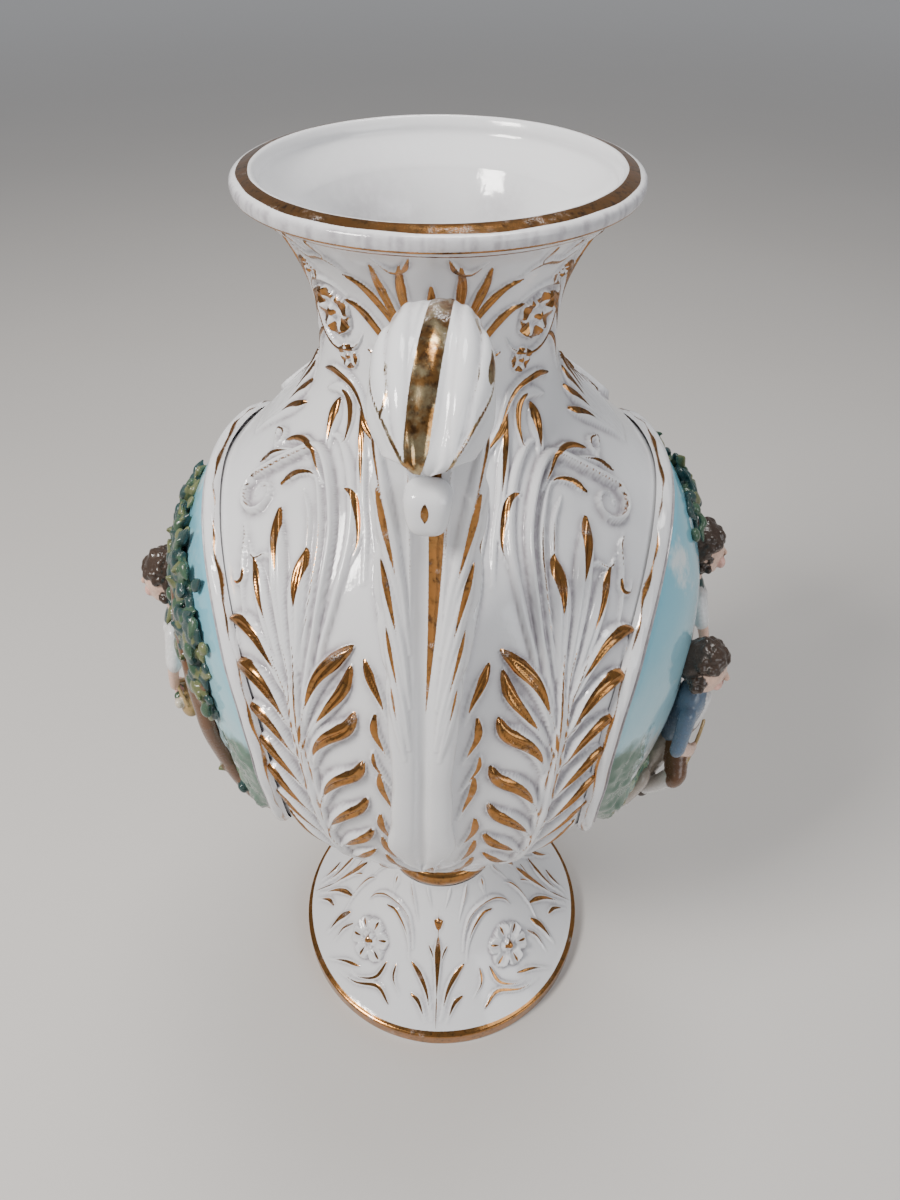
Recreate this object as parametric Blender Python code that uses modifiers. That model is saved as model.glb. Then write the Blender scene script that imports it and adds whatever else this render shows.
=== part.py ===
"""Two-handled pedestal vase in glazed porcelain, with an oval relief medallion on its front and back.

Metres, +Z up. The origin is the centre of the foot's underside. The handles stand on +X and -X, and
the medallions face -Y (front) and +Y (back). The bowl, the gilt collar and the hollow foot are three
castings on one axis, drawn together by a tie bolt. The handles, the medallions and their figures are
pressed separately and stuck on, so they follow the bowl's surface with a hair of clearance.
"""

import math

import bmesh
import bpy
from mathutils import Matrix, Vector

# Heights along the axis
RIM_HEIGHT = 0.430
NECK_Z = 0.385
BELLY_Z = 0.258
SEAT_Z = 0.090
COLLAR_HEIGHT = 0.0104

# Radii of the turned castings
FOOT_RADIUS = 0.0825
STEM_RADIUS = 0.031
WAIST_RADIUS = 0.025
BELLY_RADIUS = 0.100
NECK_RADIUS = 0.038
RIM_RADIUS = 0.0536
LIP_RADIUS = 0.0595

# Walls and edges of the castings
WALL = 0.004
FOOT_WALL = 0.0044
FLOOR_THICKNESS = 0.0055
LIP_DEPTH = 0.0056
FOOT_EDGE_HEIGHT = 0.010
FOOT_EDGE_ROUND = 0.0008
FOOT_EDGE_STEP = 0.001
FOOT_RING_WIDTH = 0.0075
COLLAR_RADIUS = 0.0322
COLLAR_BULGE = 0.28
# The lip's outer bead, as (inset from its radius, share of its depth below the rim), and the rim's
# crest, as (out from the rim's radius, drop below its height).
LIP_BEAD = ((0.0004, 0.72), (0.0, 0.5), (0.0005, 0.3))
RIM_CREST = ((0.0008, 0.0002), (0.0, 0.0), (-0.0012, 0.0006))
THROAT_STEP = 0.0008

# Fit between neighbouring pieces
GAP = 0.0003
JOIN_OVERLAP = 0.001
CORE_RADIUS = 0.002

# Facets of the turned pieces
TURN_STEPS = 36
WASHER_STEPS = 24
SHANK_SIDES = 16
HEX_SIDES = 6
SHARP_ANGLE = math.radians(35)

# Tie bolt through the waist
BOLT_RADIUS = 0.003
BOLT_HOLE_RADIUS = 0.00375
BOLT_HEAD_RADIUS = 0.0058
BOLT_HEAD_HEIGHT = 0.004
BOLT_SPARE_THREAD = 0.006
WASHER_RADIUS = 0.0095
WASHER_THICKNESS = 0.0014
SEAL_RADIUS = 0.0115
SEAL_THICKNESS = 0.002
NUT_RADIUS = 0.0058
NUT_HEIGHT = 0.005

# Handles
HANDLE_STANDOFF = 0.0075
HANDLE_THICKNESS = 0.007
HANDLE_WIDTH = 0.028
HANDLE_TOP_DROP = 0.019
HANDLE_FOOT_DROP = 0.047
HANDLE_LEAN = math.radians(1.6)
HOOD_WIDTH = 0.029
HOOD_THICKNESS = 0.0065
HOOD_SEAT = 0.0004
HOOD_RISE = 0.052
BUD_LENGTH = 0.014
BUD_WIDTH = 0.0125
BUD_DEPTH = 0.0085

# Medallions, measured along the bowl's surface
MEDALLION_Z = 0.250
MEDALLION_HALF_WIDTH = 0.0905
MEDALLION_HALF_HEIGHT = 0.0815
MEDALLION_SQUARENESS = 2.5
PLAQUE_THICKNESS = 0.0028
PLAQUE_ROOT = 0.0025
ENVELOPE_ROOT = 0.010
ENVELOPE_GROWTH = 0.004
FRAME_WIDTH = 0.0062
FRAME_HEIGHT = 0.0044
FIGURE_RELIEF = 0.68


# ---------------------------------------------------------------- helpers

def clear_scene():
    for scene_object in list(bpy.data.objects):
        bpy.data.objects.remove(scene_object, do_unlink=True)


def new_collection(name):
    collection = bpy.data.collections.new(name)
    bpy.context.scene.collection.children.link(collection)
    return collection


def material(name, color, roughness, metallic=0.0):
    made = bpy.data.materials.new(name)
    made.use_nodes = True
    shader = made.node_tree.nodes["Principled BSDF"]
    shader.inputs["Base Color"].default_value = (*color, 1.0)
    shader.inputs["Roughness"].default_value = roughness
    shader.inputs["Metallic"].default_value = metallic
    return made


def add_object(name, mesh, collection, finish=None):
    made = bpy.data.objects.new(name, mesh)
    collection.objects.link(made)
    if finish:
        mesh.materials.append(material(name, *finish))
        mesh.shade_smooth()
        mesh.set_sharp_from_angle(angle=SHARP_ANGLE)
    return made


def mesh_from(name, shape):
    mesh = bpy.data.meshes.new(name)
    shape.to_mesh(mesh)
    shape.free()
    return mesh


def baked(scene_object):
    """The object's mesh with its modifiers worked in."""
    graph = bpy.context.evaluated_depsgraph_get()
    return bpy.data.meshes.new_from_object(scene_object.evaluated_get(graph))


def combine(target, other, operation):
    cut = target.modifiers.new(operation.lower(), "BOOLEAN")
    cut.operation = operation
    cut.solver = "EXACT"
    cut.object = other


def as_cutter(scene_object):
    scene_object.hide_render = True
    scene_object.display_type = "WIRE"
    return scene_object


def lerp(start, end, share):
    return start + (end - start) * share


def smooth_through(points, pieces):
    """A Catmull-Rom curve through the points, with this many pieces between neighbours."""
    ends = [points[0] * 2 - points[1], *points, points[-1] * 2 - points[-2]]
    curve = []
    for before, start, end, after in zip(ends, ends[1:], ends[2:], ends[3:]):
        for step in range(pieces):
            t = step / pieces
            curve.append(
                0.5 * ((2 * start) + (end - before) * t
                       + (2 * before - 5 * start + 4 * end - after) * t ** 2
                       + (3 * start - 3 * end + after - before) * t ** 3))
    curve.append(points[-1])
    return curve


def between(points, share):
    """The value at this share of the way along a list of (share, value)."""
    for (low, first), (high, second) in zip(points, points[1:]):
        if share <= high:
            t = (share - low) / (high - low)
            return lerp(first, second, t * t * (3 - 2 * t))
    return points[-1][1]


# ---------------------------------------------------------------- turned outlines

# Shares of the way from the waist to the belly, from the belly to the neck, and from the neck to
# the lip, as (share of the height, share of the radius).
BOWL_SHAPE = ((0.0, 0.0), (0.06, -0.01), (0.115, 0.03), (0.15, 0.07), (0.21, 0.25), (0.36, 0.495),
              (0.535, 0.735), (0.715, 0.915), (0.89, 0.99), (1.0, 1.0))
SHOULDER_SHAPE = ((0.0, 0.0), (0.15, 0.008), (0.33, 0.07), (0.53, 0.27), (0.685, 0.60), (0.80, 0.865),
                  (0.90, 0.976), (1.0, 1.0))
FLARE_SHAPE = ((0.0, 0.0), (0.3, 0.03), (0.55, 0.17), (0.78, 0.42), (0.93, 0.72), (1.0, 0.92))
FOOT_SHAPE = ((0.0, 0.0), (0.05, 0.10), (0.19, 0.335), (0.42, 0.62), (0.68, 0.85), (0.90, 0.97), (1.0, 1.0))


def shaped(shape, start, end):
    """The shape's shares laid between two (radius, height) corners."""
    return [Vector((lerp(start[0], end[0], across), lerp(start[1], end[1], up))) for up, across in shape]


def body_outline():
    """The bowl's outer line from the seat up to the lip's underside, as (radius, height)."""
    waist = (WAIST_RADIUS, SEAT_Z)
    belly = (BELLY_RADIUS, BELLY_Z)
    neck = (NECK_RADIUS, NECK_Z)
    lip = (LIP_RADIUS, RIM_HEIGHT - LIP_DEPTH)
    bowl = shaped(BOWL_SHAPE, waist, belly)
    shoulder = shaped(SHOULDER_SHAPE, belly, neck)
    flare = shaped(FLARE_SHAPE, neck, lip)
    return smooth_through(bowl + shoulder[1:] + flare[1:], 8)


def thinned(line, most_turn=0.24, most_run=0.020):
    """Drops the points that the line's shape does not need."""
    kept = [line[0]]
    heading = line[1] - line[0]
    for point, following in zip(line[1:], line[2:]):
        turn = abs(heading.angle_signed(following - point, 0.0))
        if turn > most_turn or (point - kept[-1]).length > most_run:
            kept.append(point)
            heading = following - point
    return kept + [line[-1]]


def offset_line(line, distance):
    """The line moved sideways, to the right of its direction when the distance is positive."""
    moved = []
    for index, point in enumerate(line):
        along = line[min(index + 1, len(line) - 1)] - line[max(index - 1, 0)]
        along.normalize()
        moved.append(point + Vector((along.y, -along.x)) * distance)
    return moved


def outline_at(line, height):
    """Radius and outward normal of an outline at a height."""
    for low, high in zip(line, line[1:]):
        if low.y <= height <= high.y:
            share = (height - low.y) / (high.y - low.y)
            along = (high - low).normalized()
            return lerp(low.x, high.x, share), Vector((along.y, -along.x))
    raise ValueError("no outline at this height")


def turned_mesh(name, loop):
    """A closed loop of (radius, height) turned about the axis, its outer side first, top to bottom."""
    shape = bmesh.new()
    corners = [shape.verts.new((point[0], 0.0, point[1])) for point in loop]
    for first, second in zip(corners, corners[1:] + corners[:1]):
        shape.edges.new((first, second))
    return mesh_from(name, shape)


def turned(name, loop, collection, finish=None, steps=TURN_STEPS):
    made = add_object(name, turned_mesh(name, loop), collection)
    screw = made.modifiers.new("turn", "SCREW")
    screw.steps = screw.render_steps = steps
    screw.use_merge_vertices = True
    screw.merge_threshold = 0.00001
    mesh = baked(made)
    bpy.data.objects.remove(made, do_unlink=True)
    return add_object(name, mesh, collection, finish)


def disc(name, outer, inner, bottom, thickness, collection, finish):
    top = bottom + thickness
    loop = [(inner, top), (outer, top), (outer, bottom), (inner, bottom)]
    return turned(name, loop, collection, finish, WASHER_STEPS)


# ---------------------------------------------------------------- castings

WHITE_GLAZE = ((0.87, 0.87, 0.89), 0.12)

BODY_LINE = body_outline()


def make_body(collection):
    outer = thinned(BODY_LINE)
    inner = [point for point in offset_line(outer, -WALL)
             if SEAT_Z + FLOOR_THICKNESS + WALL < point.y < RIM_HEIGHT - LIP_DEPTH * 1.6]
    floor_z = SEAT_Z + FLOOR_THICKNESS
    lip = [Vector((LIP_RADIUS - inset, RIM_HEIGHT - LIP_DEPTH * share)) for inset, share in LIP_BEAD]
    lip += [Vector((RIM_RADIUS + out, RIM_HEIGHT - drop)) for out, drop in RIM_CREST]
    lip.append(Vector((RIM_RADIUS - WALL - THROAT_STEP, RIM_HEIGHT - LIP_DEPTH)))
    floor_radius = outline_at(BODY_LINE, floor_z)[0] - WALL
    floor = [Vector((floor_radius, floor_z)), Vector((BOLT_HOLE_RADIUS, floor_z)),
             Vector((BOLT_HOLE_RADIUS, SEAT_Z))]
    upward = outer + lip
    loop = list(reversed(upward)) + list(reversed(floor)) + inner
    turned("body", loop, collection, WHITE_GLAZE)


def foot_outline():
    edge_top = (FOOT_RADIUS - FOOT_EDGE_STEP, FOOT_EDGE_HEIGHT)
    stem_top = (STEM_RADIUS, SEAT_Z - GAP - COLLAR_HEIGHT - GAP)
    return smooth_through(shaped(FOOT_SHAPE, edge_top, stem_top), 5)


def make_foot(collection):
    line = foot_outline()
    outer = thinned(line)
    top_z = line[-1].y
    ceiling_z = top_z - FLOOR_THICKNESS
    hollow = [point for point in offset_line(outer, -FOOT_WALL)
              if FOOT_EDGE_HEIGHT < point.y < ceiling_z - WALL / 2]
    edge = [Vector((FOOT_RADIUS - FOOT_EDGE_ROUND, 0.0)), Vector((FOOT_RADIUS, FOOT_EDGE_ROUND)),
            Vector((FOOT_RADIUS, FOOT_EDGE_HEIGHT - FOOT_EDGE_ROUND))]
    ring_inner = FOOT_RADIUS - FOOT_RING_WIDTH
    ceiling_radius = outline_at(line, ceiling_z)[0] - WALL
    inside = [Vector((ring_inner, 0.0)), *hollow, Vector((ceiling_radius, ceiling_z)),
              Vector((BOLT_HOLE_RADIUS, ceiling_z)), Vector((BOLT_HOLE_RADIUS, top_z))]
    loop = list(reversed(edge + outer)) + inside
    turned("pedestal_foot", loop, collection, WHITE_GLAZE)


def make_collar(collection):
    bottom = SEAT_Z - GAP - COLLAR_HEIGHT
    middle = bottom + COLLAR_HEIGHT / 2
    depth = COLLAR_HEIGHT * COLLAR_BULGE
    arc = [(COLLAR_RADIUS - depth + depth * math.cos(math.radians(angle)),
            middle + COLLAR_HEIGHT / 2 * math.sin(math.radians(angle)))
           for angle in range(90, -91, -30)]
    loop = [(BOLT_HOLE_RADIUS, bottom + COLLAR_HEIGHT), *arc, (BOLT_HOLE_RADIUS, bottom)]
    turned("waist_collar", loop, collection, ((0.62, 0.38, 0.14), 0.25, 1.0))


# ---------------------------------------------------------------- tie bolt

STEEL = ((0.45, 0.45, 0.46), 0.4, 1.0)


def cylinder(name, radius, bottom, height, collection, sides, finish=None):
    shape = bmesh.new()
    bmesh.ops.create_cone(
        shape, cap_ends=True, segments=sides, radius1=radius, radius2=radius, depth=height,
        matrix=Matrix.Translation((0, 0, bottom + height / 2)))
    return add_object(name, mesh_from(name, shape), collection, finish)


def make_tie_bolt(collection, helpers):
    seal_z = SEAT_Z + FLOOR_THICKNESS + GAP
    upper_washer_z = seal_z + SEAL_THICKNESS + GAP
    head_z = upper_washer_z + WASHER_THICKNESS + GAP
    ceiling_z = foot_outline()[-1].y - FLOOR_THICKNESS
    lower_washer_z = ceiling_z - GAP - WASHER_THICKNESS
    nut_z = lower_washer_z - GAP - NUT_HEIGHT
    tip_z = nut_z - BOLT_SPARE_THREAD
    disc("sealing_washer", SEAL_RADIUS, BOLT_HOLE_RADIUS, seal_z, SEAL_THICKNESS, collection,
         ((0.05, 0.05, 0.05), 0.8))
    for name, height in (("bolt_washer_upper", upper_washer_z), ("bolt_washer_lower", lower_washer_z)):
        disc(name, WASHER_RADIUS, BOLT_RADIUS + GAP, height, WASHER_THICKNESS, collection, STEEL)
    bolt = cylinder("tie_bolt", BOLT_HEAD_RADIUS, head_z, BOLT_HEAD_HEIGHT, collection, HEX_SIDES, STEEL)
    shank = as_cutter(cylinder("bolt_shank", BOLT_RADIUS, tip_z, head_z + JOIN_OVERLAP - tip_z, helpers,
                               SHANK_SIDES))
    combine(bolt, shank, "UNION")
    nut = cylinder("tie_nut", NUT_RADIUS, nut_z, NUT_HEIGHT, collection, HEX_SIDES, STEEL)
    bore = as_cutter(cylinder("nut_bore", BOLT_RADIUS + GAP, nut_z - JOIN_OVERLAP,
                              NUT_HEIGHT + 2 * JOIN_OVERLAP, helpers, SHANK_SIDES))
    combine(nut, bore, "DIFFERENCE")


# ---------------------------------------------------------------- handles

HANDLE_TOP_Z = RIM_HEIGHT - HANDLE_TOP_DROP
HANDLE_FOOT_Z = BELLY_Z - HANDLE_FOOT_DROP
HANDLE_REACH = BELLY_RADIUS + HANDLE_STANDOFF
# The hood's line runs this far over its seat on the strap when the handle grows taller, and is set down by it.
HOOD_DROP = HOOD_RISE * (HANDLE_TOP_Z - HANDLE_FOOT_Z) - (HOOD_THICKNESS + HANDLE_THICKNESS / 2 + HOOD_SEAT)
# The strap's middle line: (share of the height from its foot to its top, share of the way out
# from the neck to the full reach), from the spade on the bowl up and over to the neck.
STRAP_LINE = ((0.0, 0.83), (0.10, 0.896), (0.20, 0.93), (0.30, 0.94), (0.40, 0.947), (0.52, 0.921),
              (0.63, 0.863), (0.735, 0.81), (0.815, 0.79), (0.885, 0.785), (0.945, 0.71), (0.985, 0.56),
              (0.98, 0.33), (0.945, 0.14), (0.90, -0.06))
STRAP_WIDTHS = ((0.0, 0.10), (0.03, 0.52), (0.085, 0.86), (0.15, 0.74), (0.24, 0.68), (0.34, 0.76),
                (0.48, 0.96), (0.62, 1.0), (0.72, 0.90), (0.86, 0.68), (1.0, 0.62))
STRAP_DEPTHS = ((0.0, 0.55), (0.12, 1.0), (0.70, 1.0), (1.0, 0.9))
STRAP_SECTION = ((-1.0, 0.0), (-0.82, 0.42), (-0.45, 0.5), (-0.16, 0.40), (0.0, 0.22), (0.16, 0.40),
                 (0.45, 0.5), (0.82, 0.42), (1.0, 0.0), (0.7, -0.42), (0.0, -0.5), (-0.7, -0.42))
# The hood's outer line over the strap's corner: (share of the way out from the neck to the full
# reach, share of the height from the strap's foot to its top).
HOOD_LINE = ((0.30, 1.008), (0.42, 1.026), (0.56, 1.032), (0.71, 1.022), (0.85, 0.992), (0.94, 0.955),
             (0.985, 0.93), (0.98, 0.914))
HOOD_WIDTHS = ((0.0, 0.40), (0.2, 0.76), (0.42, 0.98), (0.62, 1.0), (0.84, 0.64), (1.0, 0.18))
HOOD_DEPTHS = ((0.0, 0.45), (0.3, 0.9), (0.8, 1.0), (1.0, 0.55))
HOOD_SECTION = ((-1.0, -0.62), (-0.72, -0.12), (-0.36, 0.12), (0.0, 0.0), (0.36, 0.12), (0.72, -0.12),
                (1.0, -0.62), (0.55, -0.95), (0.0, -1.0), (-0.55, -0.95))


def handle_point(up, out):
    """A point in the handle's plane, as (reach from the axis, height)."""
    return Vector((lerp(NECK_RADIUS, HANDLE_REACH, out), lerp(HANDLE_FOOT_Z, HANDLE_TOP_Z, up)))


def loft(name, line, section, widths, depths, collection, finish):
    """Sections set square to a line in the X-Z plane, joined into one closed skin."""
    shape = bmesh.new()
    rings = []
    for index, point in enumerate(line):
        along = (line[min(index + 1, len(line) - 1)] - line[max(index - 1, 0)]).normalized()
        outward = Vector((along.y, -along.x))
        share = index / (len(line) - 1)
        half = between(widths, share)
        depth = between(depths, share)
        ring = []
        for across, out in section:
            place = point + outward * (out * depth)
            ring.append(shape.verts.new((place.x, across * half, place.y)))
        rings.append(ring)
    for low, high in zip(rings, rings[1:]):
        for index in range(len(section)):
            following = (index + 1) % len(section)
            shape.faces.new((low[index], low[following], high[following], high[index]))
    shape.faces.new(rings[0])
    shape.faces.new(rings[-1])
    bmesh.ops.recalc_face_normals(shape, faces=shape.faces)
    return add_object(name, mesh_from(name, shape), collection, finish)


def scaled(shares, size):
    return [(share, value * size) for share, value in shares]


def set_on_side(made, angle):
    """Leans a handle piece about its middle height and turns it to its side of the vase."""
    middle = Matrix.Translation((0, 0, (HANDLE_FOOT_Z + HANDLE_TOP_Z) / 2))
    lean = middle @ Matrix.Rotation(-HANDLE_LEAN, 4, "X") @ middle.inverted()
    made.data.transform(Matrix.Rotation(angle, 4, "Z") @ lean)


def make_handle(side, angle, collection, helpers, body_envelope):
    line = smooth_through([handle_point(*point) for point in STRAP_LINE], 2)
    strap_widths = scaled(STRAP_WIDTHS, HANDLE_WIDTH / 2)
    strap_depths = scaled(STRAP_DEPTHS, HANDLE_THICKNESS)
    strap = loft(f"handle_{side}_strap", line, STRAP_SECTION, strap_widths, strap_depths, collection, WHITE_GLAZE)
    hood_line = smooth_through([handle_point(up, out) - Vector((0, HOOD_DROP)) for out, up in HOOD_LINE], 2)
    hood = loft(f"handle_{side}_hood", hood_line[::-1], HOOD_SECTION,
                scaled([(1 - share, width) for share, width in reversed(HOOD_WIDTHS)], HOOD_WIDTH / 2),
                scaled([(1 - share, depth) for share, depth in reversed(HOOD_DEPTHS)], HOOD_THICKNESS),
                collection, WHITE_GLAZE)
    envelope = loft(f"{side}_strap_envelope", line, STRAP_SECTION,
                    [(share, half + GAP) for share, half in strap_widths],
                    [(share, depth + 2 * GAP) for share, depth in strap_depths], helpers, None)
    bud = make_bud(side, collection, WHITE_GLAZE)
    for piece in (strap, hood, bud, envelope):
        set_on_side(piece, angle)
    combine(hood, as_cutter(envelope), "DIFFERENCE")
    combine(bud, envelope, "DIFFERENCE")
    combine(strap, body_envelope, "DIFFERENCE")


def make_bud(side, collection, finish):
    """The nub under the hood's tip, an egg half sunk towards the strap."""
    shape = bmesh.new()
    bmesh.ops.create_uvsphere(shape, u_segments=14, v_segments=8, radius=0.5)
    seat = handle_point(0.845, 0.79)
    half_depth = (BUD_DEPTH + HANDLE_THICKNESS / 2) / 2
    place = Matrix.Translation((seat.x + HANDLE_THICKNESS / 2 + BUD_DEPTH - half_depth, 0, seat.y))
    size = Matrix.Diagonal((2 * half_depth, BUD_WIDTH, BUD_LENGTH, 1))
    shape.transform(place @ size)
    return add_object(f"handle_{side}_bud", mesh_from("bud", shape), collection, finish)


# ---------------------------------------------------------------- medallions

def surface_table():
    """The bowl's outline as a list of (distance along it from the medallion's middle, point)."""
    table = [(0.0, BODY_LINE[0])]
    for low, high in zip(BODY_LINE, BODY_LINE[1:]):
        table.append((table[-1][0] + (high - low).length, high))
    middle = next(run for run, point in table if point.y >= MEDALLION_Z)
    return [(run - middle, point) for run, point in table]


SURFACE = surface_table()


def on_bowl(across, up, out, facing):
    """A place given along the bowl's surface, from the medallion's middle, and out from the surface."""
    for (low_run, low), (high_run, high) in zip(SURFACE, SURFACE[1:]):
        if up <= high_run:
            break
    share = (up - low_run) / (high_run - low_run)
    point = low.lerp(high, share)
    along = (high - low).normalized()
    point += Vector((along.y, -along.x)) * out
    angle = facing + across / BELLY_RADIUS
    return Vector((point.x * math.cos(angle), point.x * math.sin(angle), point.y))


def wrap(made, facing):
    """Bends a piece modelled flat, with X across, Y up and Z out, onto the bowl."""
    for vertex in made.data.vertices:
        vertex.co = on_bowl(vertex.co.x, vertex.co.y, vertex.co.z, facing)
    return made


def oval(share_out, angle, grow=0.0):
    """A point of the medallion's rounded oval, at a share of its half sizes."""
    power = 2 / MEDALLION_SQUARENESS
    cosine, sine = math.cos(angle), math.sin(angle)
    across = math.copysign(abs(cosine) ** power, cosine) * (MEDALLION_HALF_WIDTH * share_out + grow)
    up = math.copysign(abs(sine) ** power, sine) * (MEDALLION_HALF_HEIGHT * share_out + grow)
    return across, up


def oval_slab(name, bottom, top, shrink, collection, finish=None, sides=36, rings=4):
    """A flat oval slab of concentric rings, fine enough to bend."""
    shape = bmesh.new()
    bmesh.ops.create_circle(shape, cap_ends=True, cap_tris=True, segments=sides, radius=1.0)
    spokes = [edge for edge in shape.edges if not edge.is_boundary]
    bmesh.ops.subdivide_edges(shape, edges=spokes, cuts=rings - 1)
    for vertex in shape.verts:
        radius = min(vertex.co.length, 1.0)
        angle = math.atan2(vertex.co.y, vertex.co.x)
        across, up = oval(radius, angle, -shrink * radius)
        vertex.co = (across, up, bottom)
    made = add_object(name, mesh_from(name, shape), collection, finish)
    thick = made.modifiers.new("thickness", "SOLIDIFY")
    thick.thickness = top - bottom
    thick.offset = 1.0
    mesh = baked(made)
    bpy.data.objects.remove(made, do_unlink=True)
    return add_object(name, mesh, collection, finish)


def make_frame(name, collection, finish):
    """The raised white moulding round the plaque, as an oval torus with a low section."""
    bpy.ops.mesh.primitive_torus_add(
        major_segments=36, minor_segments=6, major_radius=1.0, minor_radius=0.25)
    made = bpy.context.object
    mesh = made.data.copy()
    bpy.data.objects.remove(made, do_unlink=True)
    for vertex in mesh.vertices:
        radius = math.hypot(vertex.co.x, vertex.co.y)
        across, up = oval(1.0, math.atan2(vertex.co.y, vertex.co.x),
                          FRAME_WIDTH / 2 + (radius - 1.0) / 0.25 * FRAME_WIDTH / 2)
        out = FRAME_HEIGHT * vertex.co.z / 0.25
        vertex.co = (across, up, out)
    return add_object(name, mesh, collection, finish)


def lump(kind, middle, size, tilt=0.0):
    """An egg, or a skirt that narrows upwards, in the medallion's flat space."""
    shape = bmesh.new()
    if kind == "egg":
        bmesh.ops.create_uvsphere(shape, u_segments=8, v_segments=6, radius=0.5)
    else:
        bmesh.ops.create_cone(shape, cap_ends=True, segments=8, radius1=0.5, radius2=0.26, depth=1.0)
        shape.transform(Matrix.Rotation(math.radians(-90), 4, "X"))
        edges = [edge for edge in shape.edges if abs(edge.verts[0].co.y - edge.verts[1].co.y) > 0.5]
        bmesh.ops.subdivide_edges(shape, edges=edges, cuts=1)
    place = Matrix.Translation(middle) @ Matrix.Rotation(math.radians(tilt), 4, "Z")
    shape.transform(place @ Matrix.Diagonal((*size, 1)))
    return shape


def make_relief(name, lumps, facing, plaque_envelope, collection, helpers, finish):
    """Overlapping lumps joined, bent onto the bowl and cut to sit on the plaque."""
    first = None
    for index, (kind, middle, size, tilt) in enumerate(lumps):
        middle = (middle[0], middle[1], PLAQUE_THICKNESS + middle[2] * FIGURE_RELIEF)
        size = (size[0], size[1], size[2] * FIGURE_RELIEF)
        shape = lump(kind, middle, size, tilt)
        if first is None:
            first = add_object(name, mesh_from(name, shape), collection)
        else:
            other = add_object(f"{name}_{index}", mesh_from(name, shape), helpers)
            combine(first, as_cutter(other), "UNION")
    mesh = baked(first)
    bpy.data.objects.remove(first, do_unlink=True)
    made = wrap(add_object(name, mesh, collection, finish), facing)
    combine(made, plaque_envelope, "DIFFERENCE")
    return made


# Each lump: kind, middle (across, up, out from the plaque), size, tilt in degrees.
STANDING_FIGURE = (
    ("skirt", (0.016, -0.029, 0.002), (0.036, 0.048, 0.020), 0),
    ("egg", (0.014, 0.002, 0.004), (0.025, 0.036, 0.019), -4),
    ("egg", (0.012, 0.029, 0.006), (0.021, 0.026, 0.021), 0),
    ("egg", (0.013, 0.037, 0.004), (0.024, 0.017, 0.019), 0),
    ("egg", (0.029, 0.002, 0.004), (0.010, 0.032, 0.011), 32),
    ("egg", (-0.001, 0.000, 0.006), (0.010, 0.027, 0.011), -38),
)
SEATED_FIGURE = (
    ("skirt", (-0.033, -0.036, 0.002), (0.048, 0.032, 0.024), 0),
    ("egg", (-0.036, -0.015, 0.004), (0.026, 0.036, 0.019), 8),
    ("egg", (-0.038, 0.011, 0.006), (0.020, 0.025, 0.020), 0),
    ("egg", (-0.040, 0.018, 0.004), (0.024, 0.018, 0.019), 0),
    ("egg", (-0.024, -0.013, 0.006), (0.010, 0.027, 0.011), 40),
    ("egg", (-0.051, -0.016, 0.004), (0.010, 0.029, 0.011), -18),
)
TREE = (
    ("egg", (0.060, -0.002, 0.001), (0.014, 0.088, 0.012), 4),
    ("egg", (0.052, 0.036, 0.001), (0.030, 0.026, 0.014), 0),
    ("egg", (0.038, 0.055, 0.001), (0.034, 0.022, 0.013), 8),
    ("egg", (0.012, 0.064, 0.001), (0.040, 0.018, 0.012), 3),
)
GROUND = (
    ("egg", (-0.024, -0.066, 0.001), (0.076, 0.019, 0.014), -3),
    ("egg", (0.018, -0.067, 0.001), (0.072, 0.019, 0.014), 3),
    ("egg", (0.043, -0.063, 0.001), (0.044, 0.018, 0.014), 12),
    ("egg", (-0.047, -0.063, 0.001), (0.044, 0.018, 0.014), -12),
)


def make_medallion(side, facing, collection, helpers, body_envelope):
    prefix = f"medallion_{side}"
    plaque = oval_slab(f"{prefix}_plaque", -PLAQUE_ROOT, PLAQUE_THICKNESS, GAP, collection,
                       ((0.45, 0.72, 0.82), 0.2))
    frame = make_frame(f"{prefix}_frame", collection, WHITE_GLAZE)
    for piece in (plaque, frame):
        combine(wrap(piece, facing), body_envelope, "DIFFERENCE")
    envelope = oval_slab(f"{side}_plaque_envelope", -ENVELOPE_ROOT, PLAQUE_THICKNESS + 1.5 * GAP,
                         -ENVELOPE_GROWTH, helpers)
    as_cutter(wrap(envelope, facing))
    reliefs = (("standing_figure", STANDING_FIGURE, (0.80, 0.62, 0.52)),
               ("seated_figure", SEATED_FIGURE, (0.85, 0.78, 0.76)),
               ("tree", TREE, (0.12, 0.20, 0.16)),
               ("ground", GROUND, (0.36, 0.30, 0.16)))
    for piece, lumps, color in reliefs:
        make_relief(f"{prefix}_{piece}", lumps, facing, envelope, collection, helpers, (color, 0.3))


# ---------------------------------------------------------------- the vase

def main():
    clear_scene()
    vase = new_collection("porcelain_vase")
    helpers = new_collection("cutters")
    make_body(vase)
    make_foot(vase)
    make_collar(vase)
    make_tie_bolt(vase, helpers)
    outside = thinned(BODY_LINE)
    shell = offset_line(outside, GAP)
    core = [Vector((CORE_RADIUS, shell[-1].y)), Vector((CORE_RADIUS, shell[0].y))]
    body_envelope = as_cutter(turned("body_envelope", list(reversed(shell)) + list(reversed(core)), helpers))
    for side, angle in (("right", 0.0), ("left", math.pi)):
        make_handle(side, angle, vase, helpers, body_envelope)
    for side, facing in (("front", -math.pi / 2), ("back", math.pi / 2)):
        make_medallion(side, facing, vase, helpers, body_envelope)


main()
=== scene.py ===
"""Looks of the two-handled porcelain vase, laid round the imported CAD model. Metres, +Z up."""
import math

import bmesh
import bpy
import numpy as np
from mathutils import Matrix, Vector


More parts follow.
